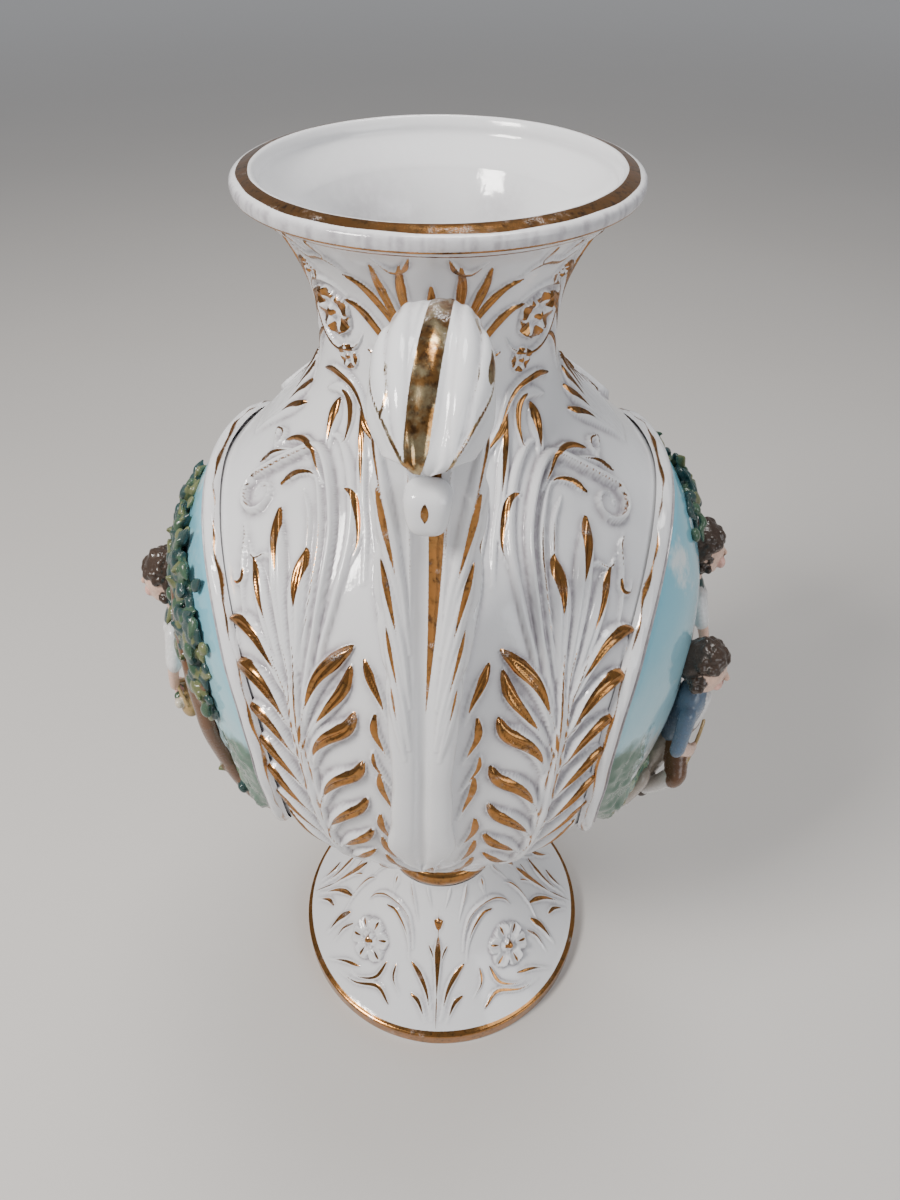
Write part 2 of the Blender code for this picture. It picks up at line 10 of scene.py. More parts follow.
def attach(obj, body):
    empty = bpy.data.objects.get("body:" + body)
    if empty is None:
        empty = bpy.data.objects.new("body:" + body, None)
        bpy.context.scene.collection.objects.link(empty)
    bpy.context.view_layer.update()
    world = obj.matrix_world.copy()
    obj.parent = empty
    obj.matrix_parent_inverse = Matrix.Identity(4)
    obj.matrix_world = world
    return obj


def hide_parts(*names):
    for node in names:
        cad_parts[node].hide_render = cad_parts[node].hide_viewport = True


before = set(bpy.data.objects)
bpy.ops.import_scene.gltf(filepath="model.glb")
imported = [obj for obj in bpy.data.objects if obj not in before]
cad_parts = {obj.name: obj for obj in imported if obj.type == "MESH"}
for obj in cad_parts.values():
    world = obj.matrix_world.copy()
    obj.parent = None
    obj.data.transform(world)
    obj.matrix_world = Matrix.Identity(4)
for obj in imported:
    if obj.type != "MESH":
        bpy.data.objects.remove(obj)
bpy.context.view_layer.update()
TAU = 2 * math.pi
MM = 0.001


# ---------------------------------------------------------------- curves and turned surfaces

def curve_through(points, pieces):
    """A Catmull-Rom curve through the points."""
    points = np.array(points, float)
    ends = np.vstack([2 * points[0] - points[1], points, 2 * points[-1] - points[-2]])
    t = (np.arange(pieces) / pieces)[:, None]
    spans = [0.5 * (2 * s + (e - b) * t + (2 * b - 5 * s + 4 * e - a) * t ** 2 + (3 * s - 3 * e + a - b) * t ** 3)
             for b, s, e, a in zip(ends, ends[1:], ends[2:], ends[3:])]
    return np.vstack(spans + [points[-1:]])


def smooth(low, high, value):
    t = np.clip((value - low) / (high - low), 0, 1)
    return t * t * (3 - 2 * t)


def unit(v):
    return v / np.maximum(np.linalg.norm(v, axis=-1, keepdims=True), 1e-12)


class Turned:
    """A line turned about the axis. "merc" is the height at which angles and lengths share one scale."""

    def __init__(self, line):
        self.line = np.array(line, float)
        self.r, self.z = self.line.T
        step = np.hypot(*np.diff(self.line, axis=0).T)
        self.run = np.concatenate([[0], np.cumsum(step)])
        self.merc = np.concatenate([[0], np.cumsum(step / ((self.r[1:] + self.r[:-1]) / 2))])
        along = unit(np.gradient(self.line, axis=0))
        self.out = np.stack([along[:, 1], -along[:, 0]], 1)

    def at_height(self, z, values):
        return np.interp(z, self.z, values)

    def at_run(self, run, values):
        return np.interp(run, self.run, values)


def shaped(shape, start, end):
    return [(start[0] + (end[0] - start[0]) * across, start[1] + (end[1] - start[1]) * up) for up, across in shape]


BOWL_SHAPE = ((0, 0), (.06, -.01), (.115, .03), (.15, .07), (.21, .25), (.36, .495), (.535, .735), (.715, .915),
              (.89, .99), (1, 1))
SHOULDER_SHAPE = ((0, 0), (.15, .008), (.33, .07), (.53, .27), (.685, .60), (.80, .865), (.90, .976), (1, 1))
FLARE_SHAPE = ((0, 0), (.3, .03), (.55, .17), (.78, .42), (.93, .72), (1, .92))
FOOT_SHAPE = ((0, 0), (.05, .10), (.19, .335), (.42, .62), (.68, .85), (.90, .97), (1, 1))
WAIST, BELLY, NECK, LIP = (.025, .090), (.100, .258), (.038, .385), (.0595, .4244)
BODY = Turned(curve_through(shaped(BOWL_SHAPE, WAIST, BELLY) + shaped(SHOULDER_SHAPE, BELLY, NECK)[1:]
                            + shaped(FLARE_SHAPE, NECK, LIP)[1:], 24))
FOOT = Turned(curve_through(shaped(FOOT_SHAPE, (.0815, .010), (.031, .079)), 24))


# ---------------------------------------------------------------- shaders

class Shader:
    def __init__(self, name):
        self.material = bpy.data.materials.new(name)
        self.material.use_nodes = True
        self.tree = self.material.node_tree
        self.bsdf = self.tree.nodes["Principled BSDF"]

    def put(self, sockets, key, value):
        if isinstance(value, bpy.types.NodeSocket):
            self.tree.links.new(value, sockets[key])
        elif value is not None:
            sockets[key].default_value = value

    def node(self, kind, inputs, out=0, **settings):
        made = self.tree.nodes.new("ShaderNode" + kind)
        for key, value in settings.items():
            setattr(made, key, value)
        for key, value in inputs.items():
            self.put(made.inputs, key, value)
        return made.outputs[out]

    def calc(self, operation, first, second=0.0):
        return self.node("Math", {0: first, 1: second}, operation=operation)

    def attribute(self, name):
        return self.node("Attribute", {}, out="Fac", attribute_name=name)

    def place(self):
        return self.node("TexCoord", {}, out="Object")

    def noise(self, scale, detail=3.0, rough=0.5):
        return self.node("TexNoise", {"Vector": self.place(), "Scale": scale, "Detail": detail, "Roughness": rough},
                         out="Fac")

    def step(self, value, low, high, to_low=0.0, to_high=1.0):
        return self.node("MapRange", {"Value": value, "From Min": low, "From Max": high, "To Min": to_low,
                                      "To Max": to_high}, interpolation_type="SMOOTHSTEP")

    def mix(self, share, first, second):
        made = self.tree.nodes.new("ShaderNodeMix")
        made.data_type = "RGBA"
        self.put(made.inputs, 0, share)
        for key, value in ((6, first), (7, second)):
            self.put(made.inputs, key, value if isinstance(value, bpy.types.NodeSocket) else (*value, 1.0))
        return made.outputs[2]

    def set(self, **inputs):
        for key, value in inputs.items():
            self.put(self.bsdf.inputs, key.replace("_", " "), value)

    def bump(self, height, distance, strength=1.0):
        made = self.node("Bump", {"Height": height, "Distance": distance, "Strength": strength})
        self.put(self.bsdf.inputs, "Normal", made)


GLAZE_WHITE = (0.80, 0.80, 0.815)
# Lilac grey painted in as shade in crevices and hollows, also the grey of the lip's worn bead and of the frames'
# lilac band.
SHADE_AND_LILAC_GREY = (0.36, 0.33, 0.36)
GOLD = (0.43, 0.195, 0.060)
GOLD_DARK = (0.13, 0.065, 0.03)
PALE_GOLD = (0.56, 0.45, 0.26)


def gilded_glaze(name, wear, painted=None, gilding=GOLD):
    """White glaze with gilding where "gild" (mm inside its edge) is positive, turned lilac grey by its second field:
    painted shade in crevices, hollows and under the foot, and real wear on the lip's bead, the frames' lilac band
    and two greyer patches inside the mouth.
    """
    s = Shader(name)
    fine = s.noise(1900.0, 2.0)
    broad = s.noise(120.0, 5.0, 0.62)
    inside = s.calc("ADD", s.attribute("gild"), s.calc("MULTIPLY", s.calc("SUBTRACT", fine, 0.5), 0.30))
    mask = s.step(inside, -0.10, 0.12)
    rubbed = s.step(broad, 0.56, 0.70, 0.0, wear)
    gone = s.calc("MULTIPLY", rubbed, s.step(s.noise(2600.0, 2.0), 0.40, 0.62))
    gold = s.calc("MULTIPLY", mask, s.calc("SUBTRACT", 1.0, gone))
    body = painted(s) if painted else GLAZE_WHITE
    # Painted shade, together with real wear and the frames' lilac band: the glaze turns lilac grey as that field
    # rises, broken up by noise.
    shade_and_grey = s.calc("MULTIPLY", s.attribute("shade_and_grey"), s.step(s.noise(300.0, 4.0, 0.6), 0.30, 0.62, 0.55, 1.0))
    body = s.mix(shade_and_grey, body, SHADE_AND_LILAC_GREY)
    tarnish = s.step(s.noise(230.0, 4.0, 0.6), 0.36, 0.62)
    metal = s.mix(tarnish, gilding, s.mix(s.step(s.noise(700.0, 3.0), .45, .7), (0.36, 0.18, 0.06), GOLD_DARK))
    s.set(Base_Color=s.mix(gold, body, metal), Metallic=gold,
          Roughness=s.calc("ADD", s.step(gold, 0, 1, 0.075, 0.17), s.step(broad, 0.3, 0.8, 0.0, 0.09)),
          IOR=1.55)
    s.bump(s.noise(260.0, 3.0, 0.55), 0.00035, 0.28)
    return s.material


def steel_and_rubber():
    steel = Shader("worn_steel")
    grain = steel.noise(900.0, 4.0)
    steel.set(Base_Color=steel.mix(steel.step(grain, .4, .7), (.46, .46, .47), (.30, .29, .28)), Metallic=1.0,
              Roughness=steel.step(grain, .3, .7, .28, .46))
    rubber = Shader("seal_rubber")
    rubber.set(Base_Color=rubber.mix(rubber.noise(500.0), (.018, .018, .019), (.05, .05, .052)), Roughness=.78)
    return steel.material, rubber.material


# ---------------------------------------------------------------- meshes from grids

def mesh_of(name, points, faces):
    mesh = bpy.data.meshes.new(name)
    mesh.vertices.add(points.size // 3)
    mesh.vertices.foreach_set("co", points.astype(np.float32).ravel())
    mesh.loops.add(faces.size)
    mesh.loops.foreach_set("vertex_index", faces.astype(np.int32).ravel())
    mesh.polygons.add(len(faces))
    mesh.polygons.foreach_set("loop_start", np.arange(0, faces.size, faces.shape[1], dtype=np.int32))
    mesh.update(calc_edges=True)
    return mesh


def shown(name, data):
    made = bpy.data.objects.new(name, data)
    bpy.context.scene.collection.objects.link(made)
    return made


def grid_piece(name, points, fields, material, normals=None):
    """A named mesh from a grid of points, with its float fields. Without normals the grid closes on itself."""
    rows, cols = points.shape[:2]
    index = np.arange(rows * cols).reshape(rows, cols)
    if normals is None:
        normals = grid_normals(points)
        index = np.hstack([index, index[:, :1]])
    quads = np.stack([index[:-1, :-1], index[:-1, 1:], index[1:, 1:], index[1:, :-1]], -1).reshape(-1, 4)
    mesh = mesh_of(name, points, quads)
    mesh.shade_smooth()
    for key, values in fields.items():
        made = mesh.attributes.new(key, "FLOAT", "POINT")
        made.data.foreach_set("value", np.ascontiguousarray(values, np.float32).ravel())
    mesh.normals_split_custom_set_from_vertices(normals.reshape(-1, 3).tolist())
    mesh.materials.append(material)
    return shown(name, mesh)


def grid_normals(points):
    up = np.gradient(points, axis=0)
    across = np.roll(points, -1, axis=1) - np.roll(points, 1, axis=1)
    return unit(np.cross(across, up))


def ride_as(piece, slot, *replaced):
    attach(piece, "root")
    if replaced:
        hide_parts(*replaced)


# ---------------------------------------------------------------- carved strokes

BARE = -9.0         # the gilding value where there is no gilding
WIDEST = 0.36       # share of its length at which a stroke is widest
SPARE = 2.08        # half widths round a stroke in which it is worked out


class Stroke:
    """A tapering modelled stroke from its tip to its root, in a flat plane.

    half is its half width and height its rise, in mm. gold is (start, end, half width in mm, shift sideways):
    the gilded part, as shares of the length. A "leaf" has a crease along it, a "ridge" is plain and round,
    and a "scoop" is hollow with a raised rim."""

    def __init__(self, points, half, height, gold=None, kind="leaf", taper=0.45):
        self.points, self.half, self.height = points, half, height
        self.gold, self.kind, self.taper = gold, kind, taper


def strokes_of(*rows):
    return [Stroke(*row) for row in rows]


def on_both_axes(rows):
    """The same strokes about the handle's plane and about the medallion's middle."""
    return [Stroke([(middle + turn * a, z) for a, z in points], *rest)
            for middle, turn in ((0, 1), (90, -1)) for points, *rest in rows]


def lay_strokes(strokes, place, x, y, scale):
    """Relief height and gilding distance (mm) on the grid x (columns), y (rows), both in the flat plane.

    place turns a stroke's points into the plane; scale is metres per unit of the plane, by row."""
    height = np.zeros((len(y), len(x)))
    gild = np.full_like(height, BARE)
    for stroke in strokes:
        line = curve_through(place(np.array(stroke.points, float)), 7)
        pad = SPARE * stroke.half * MM / np.interp((line[:, 1].min() + line[:, 1].max()) / 2, y, scale)
        cols = np.flatnonzero((x > line[:, 0].min() - pad) & (x < line[:, 0].max() + pad))
        rows = np.flatnonzero((y > line[:, 1].min() - pad) & (y < line[:, 1].max() + pad))
        if not len(cols) or not len(rows):
            continue
        px, py = x[cols][None, :], y[rows][:, None]
        best = np.full((len(rows), len(cols)), 1e9)
        share = np.zeros_like(best)
        side = np.zeros_like(best)
        length = np.concatenate([[0], np.cumsum(np.hypot(*np.diff(line, axis=0).T))])
        for k, ((ax, ay), (bx, by)) in enumerate(zip(line, line[1:])):
            dx, dy = bx - ax, by - ay
            t = np.clip(((px - ax) * dx + (py - ay) * dy) / (dx * dx + dy * dy), 0, 1)
            ox, oy = px - ax - t * dx, py - ay - t * dy
            distance = np.hypot(ox, oy)
            near = distance < best
            best = np.where(near, distance, best)
            share = np.where(near, (length[k] + t * (length[k + 1] - length[k])) / length[-1], share)
            side = np.where(near, np.sign(dx * oy - dy * ox), side)
        d = best * scale[rows][:, None] / MM
        swell = np.where(share < WIDEST, np.sin(np.clip(share / WIDEST, 0, 1) * math.pi / 2) ** 0.75,
                         1 - (1 - stroke.taper) * smooth(WIDEST, 1.0, share))
        half = np.maximum(stroke.half * swell, 0.05)
        q = np.clip(d / half, 0, 1)
        rise = stroke.height * (0.30 + 0.70 * swell) * (1 - 0.55 * smooth(0.8, 1.0, share))
        if stroke.kind == "ridge":
            form = (1 - q * q) ** 0.9
        elif stroke.kind == "scoop":
            form = smooth(1.0, 0.78, q) * (0.42 + 0.58 * smooth(0.15, 0.8, q))
        else:
            form = (1 - q ** 2.4) ** 0.8 * (1 - 0.30 * np.exp(-(d / 0.55) ** 2) * smooth(0.04, 0.25, share))
        patch = np.ix_(rows, cols)
        height[patch] = np.maximum(height[patch], rise * form)
        if stroke.gold:
            start, end, width, shift = (*stroke.gold, 0.0)[:4]
            middle = (share - start) / max(end - start, 1e-6)
            lancet = np.where(middle < 0.3, np.sqrt(np.clip(middle / 0.3, 0, 1)),
                              1 - np.clip((middle - 0.3) / 0.7, 0, 1) ** 1.3)
            room = np.where((middle > 0) & (middle < 1), width * lancet, -1.0)
            room = np.minimum(room, half * 0.93 + 0.2)
            gild[patch] = np.maximum(gild[patch], room - np.abs(d * side - shift))
    return height * MM, gild


def on_surface(surface, points):
    """Stroke points given as (degrees, height in mm) in the surface's angle and merc plane."""
    return np.stack([np.radians(points[:, 0]), surface.at_height(points[:, 1] * MM, surface.merc)], 1)


def spiral(surface, angle, height, start, turns, small, large, steps=14, lean=1):
    """Points of a volute round (angle, height), from its eye outwards, as (degrees, mm)."""
    radius = surface.at_height(height * MM, surface.r) / MM
    run = surface.at_height(height * MM, surface.run) / MM
    points = []
    for k in range(steps + 1):
        t = k / steps
        turn = math.radians(start) + lean * TAU * turns * t
        size = small + (large - small) * t
        z = surface.at_run((run + size * math.sin(turn)) * MM, surface.z) / MM
        points.append((angle + math.degrees(size * math.cos(turn) / radius), z))
    return points


def flower(surface, angle, height, reach, petal, count=6, gold=0.5):
    """Rosette of round petals with a middle bead."""
    rows = []
    for k in range(count):
        ring = spiral(surface, angle, height, 30 + k * 360 / count, 0.0, reach * 1.35, reach * 0.45, 2)
        rows.append((ring, petal, petal * 0.55, (0.1, 0.85, petal * gold), "scoop", 0.8))
    eye = spiral(surface, angle, height, 0, 0.0, petal * 0.35, -petal * 0.35, 2)
    return strokes_of(*rows, (eye, petal * 0.8, petal * 0.75, (-.4, 1.4, petal * 0.5), "ridge", 0.9))


# Strokes on the body from the handle's plane (0 degrees) to the medallion's middle (90 degrees).
OUTER_LEAVES = 10                   # the first leaves, on the medallion's side
RIB_DROPS, RIBS_END = (14, 32, 52, 74), 190     # mm below a leaf's root, and the height where ribs end
STEM = ((20.5, 186), (21.6, 205), (22.6, 225), (23.5, 247), (24.5, 277), (25.7, 300), (28.0, 318))


def frond():
    """The leafy branch between handle and medallion, with fine ribs running down beside its stem."""
    angles, heights = zip(*STEM)
    leaves = (
        # tip to root; half width, height, gold. The leaves on the handle's side come last.
        (((31, 336.5), (30, 331), (28.6, 324), (27.2, 316), (26.2, 305)), 3.7, 2.2, (0, .4, 2.3)),
        (((45.5, 341), (41.6, 336.5), (37, 331), (33, 323), (30, 314), (27.2, 302)), 3.5, 2.2, (0, .34, 2)),
        (((44.5, 329), (41, 326.2), (36.8, 320), (32.4, 311), (28, 299)), 3.3, 2, (.02, .42, 1.5)),
        (((45.5, 308.5), (41.5, 311.2), (36.4, 310.6), (31.4, 305), (26.4, 294)), 3.6, 2.7, (0, .62, 2.4)),
        (((41.6, 294.5), (38, 298), (33, 296.4), (29.2, 290.6), (25.7, 280)), 3.9, 2.9, (0, .7, 2.9, -.4)),
        (((38.4, 281), (34.6, 283.2), (30.2, 279.5), (25.2, 267)), 3.7, 2.8, (0, .74, 2.4, -.3)),
        (((37.6, 268), (33.4, 268.8), (28.8, 262), (24.2, 249)), 3.7, 2.8, (0, .74, 2.3, -.3)),
        (((37, 253), (33, 253.6), (28.2, 246), (23.7, 233)), 3.6, 2.8, (0, .74, 2.1, -.3)),
        (((35.8, 239), (31.4, 236.8), (27, 228.5), (23.2, 217)), 3.4, 2.5, (0, .74, 1.8)),
        (((34, 224.5), (29.8, 219), (26.2, 211), (22.6, 201)), 3.1, 2.2, (0, .7, 1.5)),
        (((14.3, 318), (17.2, 313.5), (20.6, 306.5), (22.7, 296), (24, 284)), 3.2, 2.6, (0, .62, 2.5, .2)),
        (((14.5, 312.5), (15.7, 304.5), (18.4, 297), (21.4, 288), (23.4, 278)), 2.6, 2, (0, .58, 2.1)),
        (((13.2, 297.5), (14.6, 291.5), (18.6, 285.5), (21.2, 278), (22.9, 266)), 3.9, 2.8, (0, .66, 2.8)),
        (((11.8, 277.5), (13.2, 271.5), (17, 266), (19.8, 258), (21.9, 245)), 3.9, 2.8, (0, .66, 2.8)),
        (((11.6, 258), (13.2, 252), (16.8, 245.5), (19.8, 237), (21.8, 225)), 3.6, 2.6, (0, .64, 2.4)),
        (((11.2, 238.5), (13, 232.5), (16.6, 225.5), (20.6, 213)), 3.3, 2.5, (0, .68, 2.1)),
        (((11.6, 221), (14.2, 215), (17, 208), (20.2, 199)), 2.8, 2, (0, .74, 1.6)),
    )
    strokes = strokes_of((STEM[::-1], 2.1, 2.4, (.04, .5, .4), "ridge", 1.0))
    for k, (points, half, rise, (start, end, width, *shift)) in enumerate(leaves):
        gold = (start, min(end + .12, .98), min(width, half * .8), *shift)
        lane = (0.7 + 0.35 * (k % 4)) * (1 if k < OUTER_LEAVES else -1)
        rib = [points[-2], points[-1]]
        for drop in RIB_DROPS:
            z = points[-1][1] - drop
            if z > RIBS_END:
                rib.append((np.interp(z, heights, angles) + lane * (1 - drop / 120), z))
        strokes += strokes_of((points, half, rise * 1.25, gold),
                              (rib, 1.15, 1.7, (0, .62, .26, .5) if k % 3 else None, "ridge", 0.6))
    return strokes


def side_tufts():
    """Small leaves between the fronds and the handle's strap."""
    rows = (
        (((12.2, 315), (10.4, 309), (8.5, 303), (7, 296)), 2, (0, .85, 1.6)),
        (((9.4, 298.5), (9.5, 292), (8.2, 286), (6.6, 279)), 1.8, (0, .85, 1.3)),
        (((9.9, 284), (9.6, 278), (8, 272), (6.4, 265)), 1.6, (.05, .7, .8)),
        (((8.8, 274), (8.7, 267), (7.4, 259), (6, 249)), 1.8, (0, .85, 1.3)),
        (((9.3, 250), (9.4, 243), (8.2, 236), (6.6, 228)), 1.8, (0, .85, 1.4)),
        (((9.8, 233), (9.2, 226), (7.8, 219), (6.2, 211)), 1.8, (0, .85, 1.4)),
        (((9.9, 217), (8.8, 210), (6.8, 203), (4.6, 196)), 1.9, (0, .8, 1.4)),
        (((8.5, 204), (6.4, 197), (3.6, 191), (.5, 186)), 2, (0, .8, 1.5)),
        (((0, 207), (0, 200), (0, 192), (0, 184)), 2, (0, .8, 1.4)),
    )
    return [Stroke(points, half, 1.5, gold) for points, half, gold in rows]


def shoulder_scrolls():
    eye = spiral(BODY, 55.5, 340, 210, 1.5, 0.5, 8.2, 20)
    arch = [*eye[3:], (51.0, 353.0), (45.5, 355.5), (38.5, 353.5), (31.5, 348.5), (26.6, 341.5), (24, 332.5),
            (23, 321), (23.4, 308), (24, 292)]
    strokes = strokes_of(
        (arch, 1.9, 3.2, (0, .6, .26, .9), "ridge", .7),
        (((47, 350), (39.5, 350), (33, 345), (28.6, 338), (26.2, 329), (25.2, 318), (25.2, 306)), 1.2, 1.4,
         (.35, .95, .25), "ridge", .7),
        (((42, 347), (35.5, 343), (31, 336), (28.3, 328)), 1.1, 1.1, (.3, .9, .2), "ridge", .7),
        (((48, 359), (39, 359.5), (30, 355), (24, 348.5), (20.8, 340), (20.2, 328), (21.2, 314), (22, 300)),
         1.9, 1.8, None, "ridge", .6),
        (((62.5, 351.5), (55, 354.6), (47.5, 354.6), (41, 352), (36, 349.6)), 1.9, 3, (.02, .96, 1.2), "ridge"),
        (((50.5, 344.3), (47.6, 348.2), (43, 350.2), (38.5, 350)), 1.5, 1.9, (0, .95, 1.1)),
        (((46.5, 369.5), (46.3, 364.5), (44.4, 359.5), (41.5, 355.5)), 3, 2, (0, .85, 2)),
        (((33.2, 369), (28.5, 364.8), (22.5, 361.3), (16.5, 357)), 1.8, 1.6, (0, .8, 1.2)),
        (((33, 368), (29, 361.5), (25.2, 355.5), (21, 349), (17, 342), (14.6, 333)), 1.9, 1.7, (0, .55, 1.1)),
        (((29.5, 350.5), (24.2, 349.6), (20.6, 345.8), (18.6, 340.5), (19.3, 336.5)), 1.9, 1.5, (.05, .95,
         1.2), "scoop"),
        (((17.5, 353), (15.2, 347), (12.6, 340), (10.4, 332)), 1.5, 1.5, (0, .7, .8)),
        (((12.6, 342), (11, 335), (9.1, 327), (7.4, 318), (6.4, 307)), 2.1, 1.7, (0, .62, 1.3)),
        (((9.6, 330), (7.8, 323), (6.2, 316), (5.2, 307)), 1.5, 1.3, (0, .7, .3), "ridge"),
        (((64, 374), (53, 376.5), (42, 376), (35.5, 373), (29, 366), (24, 358)), 2.1, 1.8, (0, .8, 1.2)),
        (((58, 369), (48, 372), (40.5, 371), (37, 365), (36.4, 358)), 2, 1.6, (.35, .98, 1.2)),
        (((66, 343.5), (62.5, 348), (55, 351.5), (48, 352.3)), 1.6, 1.8, (0, .6, .9)),
        (((46, 326), (44.6, 322.2), (46.4, 320), (48.5, 322)), 1.5, 1.6, (.1, .9, .8)),
        (((54, 333), (50, 331), (46.6, 326), (44, 320), (41, 312)), 1.4, 1.5, (.05, .5, .35), "ridge"),
        (((48, 330.5), (44, 328.5), (41, 331), (37.5, 330), (34, 324.5)), 1.3, 1.3, (.1, .6, .3), "ridge"),
        (spiral(BODY, 67, 350, 20, 1, .5, 4.2, 12, -1) + [(61, 348), (57, 349)], 1.3, 1.6, (.2, .7, .4),
         "ridge"),
    )
    for k, (a, z) in enumerate(((90, 372), (82.5, 370.5), (75.5, 366.5), (69.5, 361))):
        strokes.append(Stroke(((a, z), (a * .6 + 36, z * .55 + 156), (90 - 1.6 * k, 343.5)), 2.9, 2.2,
                              (0, .55, 1.4)))
    for a, z in ((41.6, 300), (39, 284), (37.2, 268), (36.4, 250), (37, 232), (38.6, 216)):
        strokes.append(Stroke(((a + 1.6, z + 8), (a + .2, z + 4), (a - .4, z), (a + .4, z - 7)), .9, .9,
                              (.1, .8, .3), "ridge"))
    return strokes


def neck_sprays():
    large = (((0, 411), (0, 404), (0, 396), (0, 388)),
             ((9.2, 418), (10.6, 412), (10.4, 405), (8.2, 397), (5, 389)),
             ((19.5, 417), (19, 411), (16.4, 404), (12.2, 396), (7.5, 388)),
             ((34, 411), (27, 409), (20.5, 403.5), (14.5, 396), (9.5, 387)),
             ((40, 401.5), (33, 401), (25.5, 396.5), (18.5, 389.5), (13, 381)))
    small = (((5.5, 421), (8, 417), (12.8, 415.5), (17, 419)), ((31, 388), (24.5, 386), (18, 380), (13.5, 372)))
    strokes = on_both_axes([(row, 1.9, 1.5, (0, .92, 1.5)) for row in large]
                           + [(row, 1.3, 1.5, (0, .92, .8)) for row in small])
    strokes += flower(BODY, 49, 396.5, 5.8, 3.5, gold=.92)
    strokes += flower(BODY, 57, 407.5, 3.0, 2.1, count=5, gold=.9)
    strokes += flower(BODY, 42, 383.5, 3.0, 2.1, count=5, gold=.9)
    strokes += strokes_of(
        (spiral(BODY, 48.5, 396, -160, .82, 11.4, 10.6, 16), 1.3, 1.5, (.06, .94, .5), "ridge", 0.7),
        (((31, 412), (39, 415.5), (48, 414), (56, 415.5), (64, 412)), 1.3, 1.2, (.1, .9, .6)),
        *((((a, 421.5), (a, 418.5), (a, 414.5)), 1.1, .9, (0, .9, .7)) for a in (38, 48, 58)))
    return strokes


def base_tongues():
    """Gadroons rising from the waist under the bowl."""
    rows = []
    for k, top in enumerate((163, 186, 186, 176, 163, 176, 163)):
        a, b = 15 * k, 15 * k + 7.5
        rows += [(((a, top), (a, top - 10), (a, top - 26), (a, 128), (a, 104)), 5.0, 1.7, (0, .22, 1.4),
                  "leaf", .24),
                 (((b, top - 10), (b, 140), (b, 112)), 1.5, 1.2, (0, .6, .35), "ridge", .5)]
    for a, z in ((50, 168), (60, 163), (70, 160), (80, 158.5), (90, 158)):
        rows.append((((a - 4, z + 18), (a - 1.5, z + 11), (a, z + 3), (a, z - 6)), 2.4, 1.8, (0, .7, 1.2)))
    return strokes_of(*rows)


BODY_STROKES = frond() + side_tufts() + shoulder_scrolls() + neck_sprays() + base_tongues()


def foot_strokes():
    strokes = on_both_axes((
        (((0, 48), (0, 38), (0, 29), (0, 20)), 2.7, 1.7, (0, .95, 1.7)),
        (((0, 22), (0, 16), (0, 11.5)), .8, .9, (0, 1, .4), "ridge"),
        (((16, 34.5), (10.5, 31), (5.4, 24.5), (2, 14.5)), 2.4, 1.6, (0, .85, 1.4)),
        (((13, 22), (8.4, 19.8), (4.4, 13.5)), 2, 1.3, (0, .85, 1.1)),
        (((6.5, 44), (3.6, 40), (1.6, 34)), 1.2, 1.1, (0, .8, .5)),
        (((29, 79), (25.5, 71), (20.5, 63), (16.5, 55)), 1.3, 1.2, (.1, .7, .25), "ridge"),
        (((12, 79), (9, 71), (6, 64)), 1.1, .9, None, "ridge"),
        (((0, 57.6), (0, 55.2), (0, 52.8)), 2.9, 1.4, (-.6, 1.6, 2.7), "ridge", .95),
    ))
    strokes += flower(FOOT, 45, 33, 9.6, 5.5, gold=.14)
    return strokes + strokes_of(
        (((62, 45), (58.5, 52), (49, 58), (36, 59.5), (25.5, 56), (19, 48), (16.5, 40)), 2.1, 1.9, (.02, .9,
         .5), "ridge"),
        (((47, 52.5), (37, 54.5), (27.5, 50.5), (20.5, 43), (17.5, 35)), 1.8, 1.6, (0, .7, .9)),
        (((68, 57), (73, 52), (75.5, 44), (74, 35), (70, 27)), 1.8, 1.6, (.05, .8, .5), "ridge"),
        (((21, 15.5), (29, 19.5), (39.5, 15.8), (49, 14)), 2, 1.4, (0, .9, 1)),
        (((29.5, 30), (31.5, 22.5), (38.5, 18.2), (44, 17)), 1.8, 1.4, (0, .9, .9)),
        (((41.5, 21), (49.5, 18), (57, 12.5)), 1.8, 1.3, (0, .8, .9)),
        (((67, 31), (68.4, 24), (67, 16)), 2.6, 1.5, (0, .9, 1.6)),
        (((60, 30), (62.5, 24), (61, 17)), 1.5, 1.1, (0, .9, .7)),
        (((24, 31), (23, 25), (17.5, 20)), 1.4, 1.1, (0, .9, .6)),
        (((45, 76), (45, 70), (45, 63)), 2.4, 1.1, (.1, .6, .5)),
    )


def ripples(theta, run, waves):
    """A small smooth unevenness, different all round."""
    total = np.zeros((len(run), len(theta)))
    for count, length, phase, size in waves:
        total += size * np.sin(count * theta[None, :] + phase + run[:, None] * TAU / length)
    return total


def crevices(height, reach):
    """How far each place lies below its surroundings, 0 to 1; the glaze is greyed there as painted shade."""
    around = height.copy()
    for _ in range(reach):
        around[1:-1, :] = (around[:-2, :] + around[1:-1, :] + around[2:, :]) / 3
        around = (np.roll(around, 1, 1) + around + np.roll(around, -1, 1)) / 3
    return np.clip((around - height) / (0.62 * MM), 0, 1)


